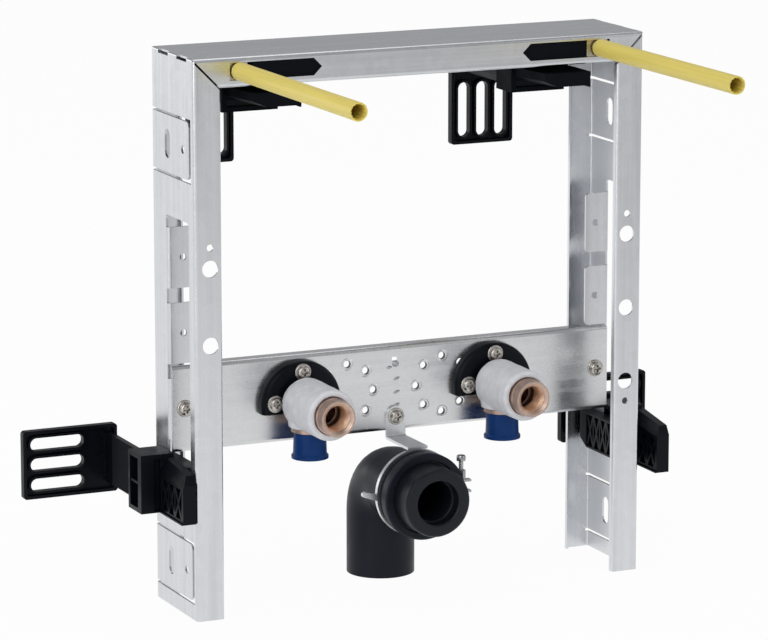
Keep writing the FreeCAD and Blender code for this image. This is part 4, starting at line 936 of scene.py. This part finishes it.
# The lit floor is white paint, a little greyed, and evenly matt.
FLOOR_COLOUR = "#ffffff"
FLOOR_TONES = (0.86, 0.88)
FLOOR_ROUGHNESS = (0.9, 0.9)
# The sky is a little bluer than grey.
SKY_BLUE = 1.03


class BASINFRAME_OT_stage(bpy.types.Operator):
    """Floor, light and camera"""

    bl_idname = "basinframe.stage"
    bl_label = "Stage"

    def execute(self, context):
        stage = context.scene.basin_stage
        self.floor(stage.sky)
        self.sky(context.scene, stage.sky)
        self.lamps(context.scene, stage)
        self.camera(context.scene, stage)
        context.scene.view_settings.view_transform = "Standard"
        return {"FINISHED"}

    def floor(self, sky):
        """A plain pale floor."""
        work = bmesh.new()
        bmesh.ops.create_grid(work, x_segments=8, y_segments=8, size=FLOOR_HALF_SIZE)
        mesh = bpy.data.meshes.new("floor")
        work.to_mesh(mesh)
        work.free()
        mesh.materials.append(self.matt_floor(sky))
        floor = bpy.data.objects.new("floor", mesh)
        bpy.context.scene.collection.objects.link(floor)

    def matt_floor(self, sky):
        """Pale matt floor, which looks white to the camera and to glossy surfaces."""
        material, tree, place = start_material("Floor, pale and matt")
        patches = grain(tree, place, FLOOR_PATCH)
        look = varied(tree, patches, linear(FLOOR_COLOUR), FLOOR_TONES, FLOOR_ROUGHNESS)
        matt = add(tree, "ShaderNodeBsdfPrincipled", look)
        # White round the frame, greyer to the front right, and as pale as the sky far away.
        ahead = add(tree, "ShaderNodeVectorMath", {0: place, 1: FRONT_RIGHT},
                    operation="DOT_PRODUCT").outputs["Value"]
        away = add(tree, "ShaderNodeVectorMath", {0: place}, operation="LENGTH").outputs["Value"]
        tones = [add(tree, "ShaderNodeMapRange", {
            "Value": value, "From Min": near, "From Max": far, "To Min": 1.0, "To Max": tone})
            for value, (near, far), tone in ((ahead, FRONT_RIGHT_REACH, FRONT_RIGHT_TONE),
                                             (away, FAR_REACH, sky))]
        pale = add(tree, "ShaderNodeMath", {0: tones[0].outputs[0], 1: tones[1].outputs[0]},
                   operation="MINIMUM").outputs[0]
        white = add(tree, "ShaderNodeEmission", {"Color": (1, 1, 1, 1), "Strength": pale})
        # Rays from the camera, from glossy surfaces and through glass see the white floor.
        rays = add(tree, "ShaderNodeLightPath").outputs
        seen = add(tree, "ShaderNodeMath", {0: rays["Is Camera Ray"], 1: rays["Is Glossy Ray"]},
                   operation="ADD")
        seen = add(tree, "ShaderNodeMath", {0: seen.outputs[0], 1: rays["Is Transmission Ray"]},
                   operation="ADD", use_clamp=True)
        share = add(tree, "ShaderNodeMath", {0: seen.outputs[0], 1: WHITE_SHARE},
                    operation="MULTIPLY")
        mixed = add(tree, "ShaderNodeMixShader", {
            0: share.outputs[0], 1: matt.outputs[0], 2: white.outputs[0]})
        add(tree, "ShaderNodeOutputMaterial", {"Surface": mixed.outputs[0]})
        return material

    def sky(self, scene, strength):
        """A plain pale grey sky all round."""
        world = bpy.data.worlds.new("studio")
        world.use_nodes = True
        tree = world.node_tree
        tree.nodes.clear()
        glow = add(tree, "ShaderNodeBackground", {
            "Color": (strength, strength, strength * SKY_BLUE, 1), "Strength": 1.0})
        add(tree, "ShaderNodeOutputWorld", {"Surface": glow.outputs[0]})
        scene.world = world

    def lamps(self, scene, stage):
        """Large soft lamps, aimed at the middle of the frame."""
        low, high = packed_bounds
        centre = (low + high) / 2
        for name, place, (width, height), setting in LAMPS:
            light = bpy.data.lights.new(name, "AREA")
            light.shape = "RECTANGLE"
            light.size = width
            light.size_y = height
            light.energy = getattr(stage, setting)
            lamp = bpy.data.objects.new(name, light)
            lamp.location = place
            lamp.rotation_euler = (centre - Vector(place)).to_track_quat("-Z", "Y").to_euler()
            scene.collection.objects.link(lamp)

    def camera(self, scene, stage):
        """The photograph's view; the picture's size of 768 by 640 pixels is not set here."""
        ahead = Vector((math.sin(stage.turn) * math.cos(stage.rise),
                        math.cos(stage.turn) * math.cos(stage.rise), -math.sin(stage.rise)))
        lens = bpy.data.cameras.new("camera")
        lens.lens = stage.lens
        lens.sensor_width = SENSOR_WIDTH
        lens.clip_end = VIEW_END
        camera = bpy.data.objects.new("camera", lens)
        camera.location = Vector(CAMERA_TARGET) * MM - ahead * stage.distance
        camera.rotation_euler = ahead.to_track_quat("-Z", "Y").to_euler()
        scene.collection.objects.link(camera)
        scene.camera = camera


OPERATORS = (
    BASINFRAME_OT_sheet, BASINFRAME_OT_plate_marks, BASINFRAME_OT_mouldings,
    BASINFRAME_OT_screws, BASINFRAME_OT_clamp, BASINFRAME_OT_tap_elbows, BASINFRAME_OT_foam,
    BASINFRAME_OT_plugs, BASINFRAME_OT_rod_sleeves, BASINFRAME_OT_waste, BASINFRAME_OT_stage,
)


class BASINFRAME_PT_sidebar(bpy.types.Panel):
    """The frame's settings and its steps"""

    bl_label = "Basin frame"
    bl_idname = "BASINFRAME_PT_sidebar"
    bl_space_type = "VIEW_3D"
    bl_region_type = "UI"
    bl_category = "Basin frame"

    def draw(self, context):
        scene = context.scene
        for group in (scene.basin_finish, scene.basin_detail, scene.basin_stage):
            column = self.layout.column(align=True)
            for name in group.bl_rna.properties.keys():
                if name not in ("rna_type", "name"):
                    column.prop(group, name)
        for operator in OPERATORS:
            self.layout.operator(operator.bl_idname)


CLASSES = (BasinFrameFinish, BasinFrameDetail, BasinFrameStage) + OPERATORS + (
    BASINFRAME_PT_sidebar,)


def register():
    for item in CLASSES:
        bpy.utils.register_class(item)
    bpy.types.Scene.basin_finish = PointerProperty(type=BasinFrameFinish)
    bpy.types.Scene.basin_detail = PointerProperty(type=BasinFrameDetail)
    bpy.types.Scene.basin_stage = PointerProperty(type=BasinFrameStage)


def unregister():
    del bpy.types.Scene.basin_finish
    del bpy.types.Scene.basin_detail
    del bpy.types.Scene.basin_stage
    for item in reversed(CLASSES):
        bpy.utils.unregister_class(item)


def main():
    """Registers the add-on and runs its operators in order."""
    register()
    bpy.ops.basinframe.sheet()
    bpy.ops.basinframe.plate_marks()
    bpy.ops.basinframe.mouldings()
    bpy.ops.basinframe.screws()
    bpy.ops.basinframe.clamp()
    bpy.ops.basinframe.tap_elbows()
    bpy.ops.basinframe.foam()
    bpy.ops.basinframe.plugs()
    bpy.ops.basinframe.rod_sleeves()
    bpy.ops.basinframe.waste()
    bpy.ops.basinframe.stage()


if __name__ == "__main__":
    main()
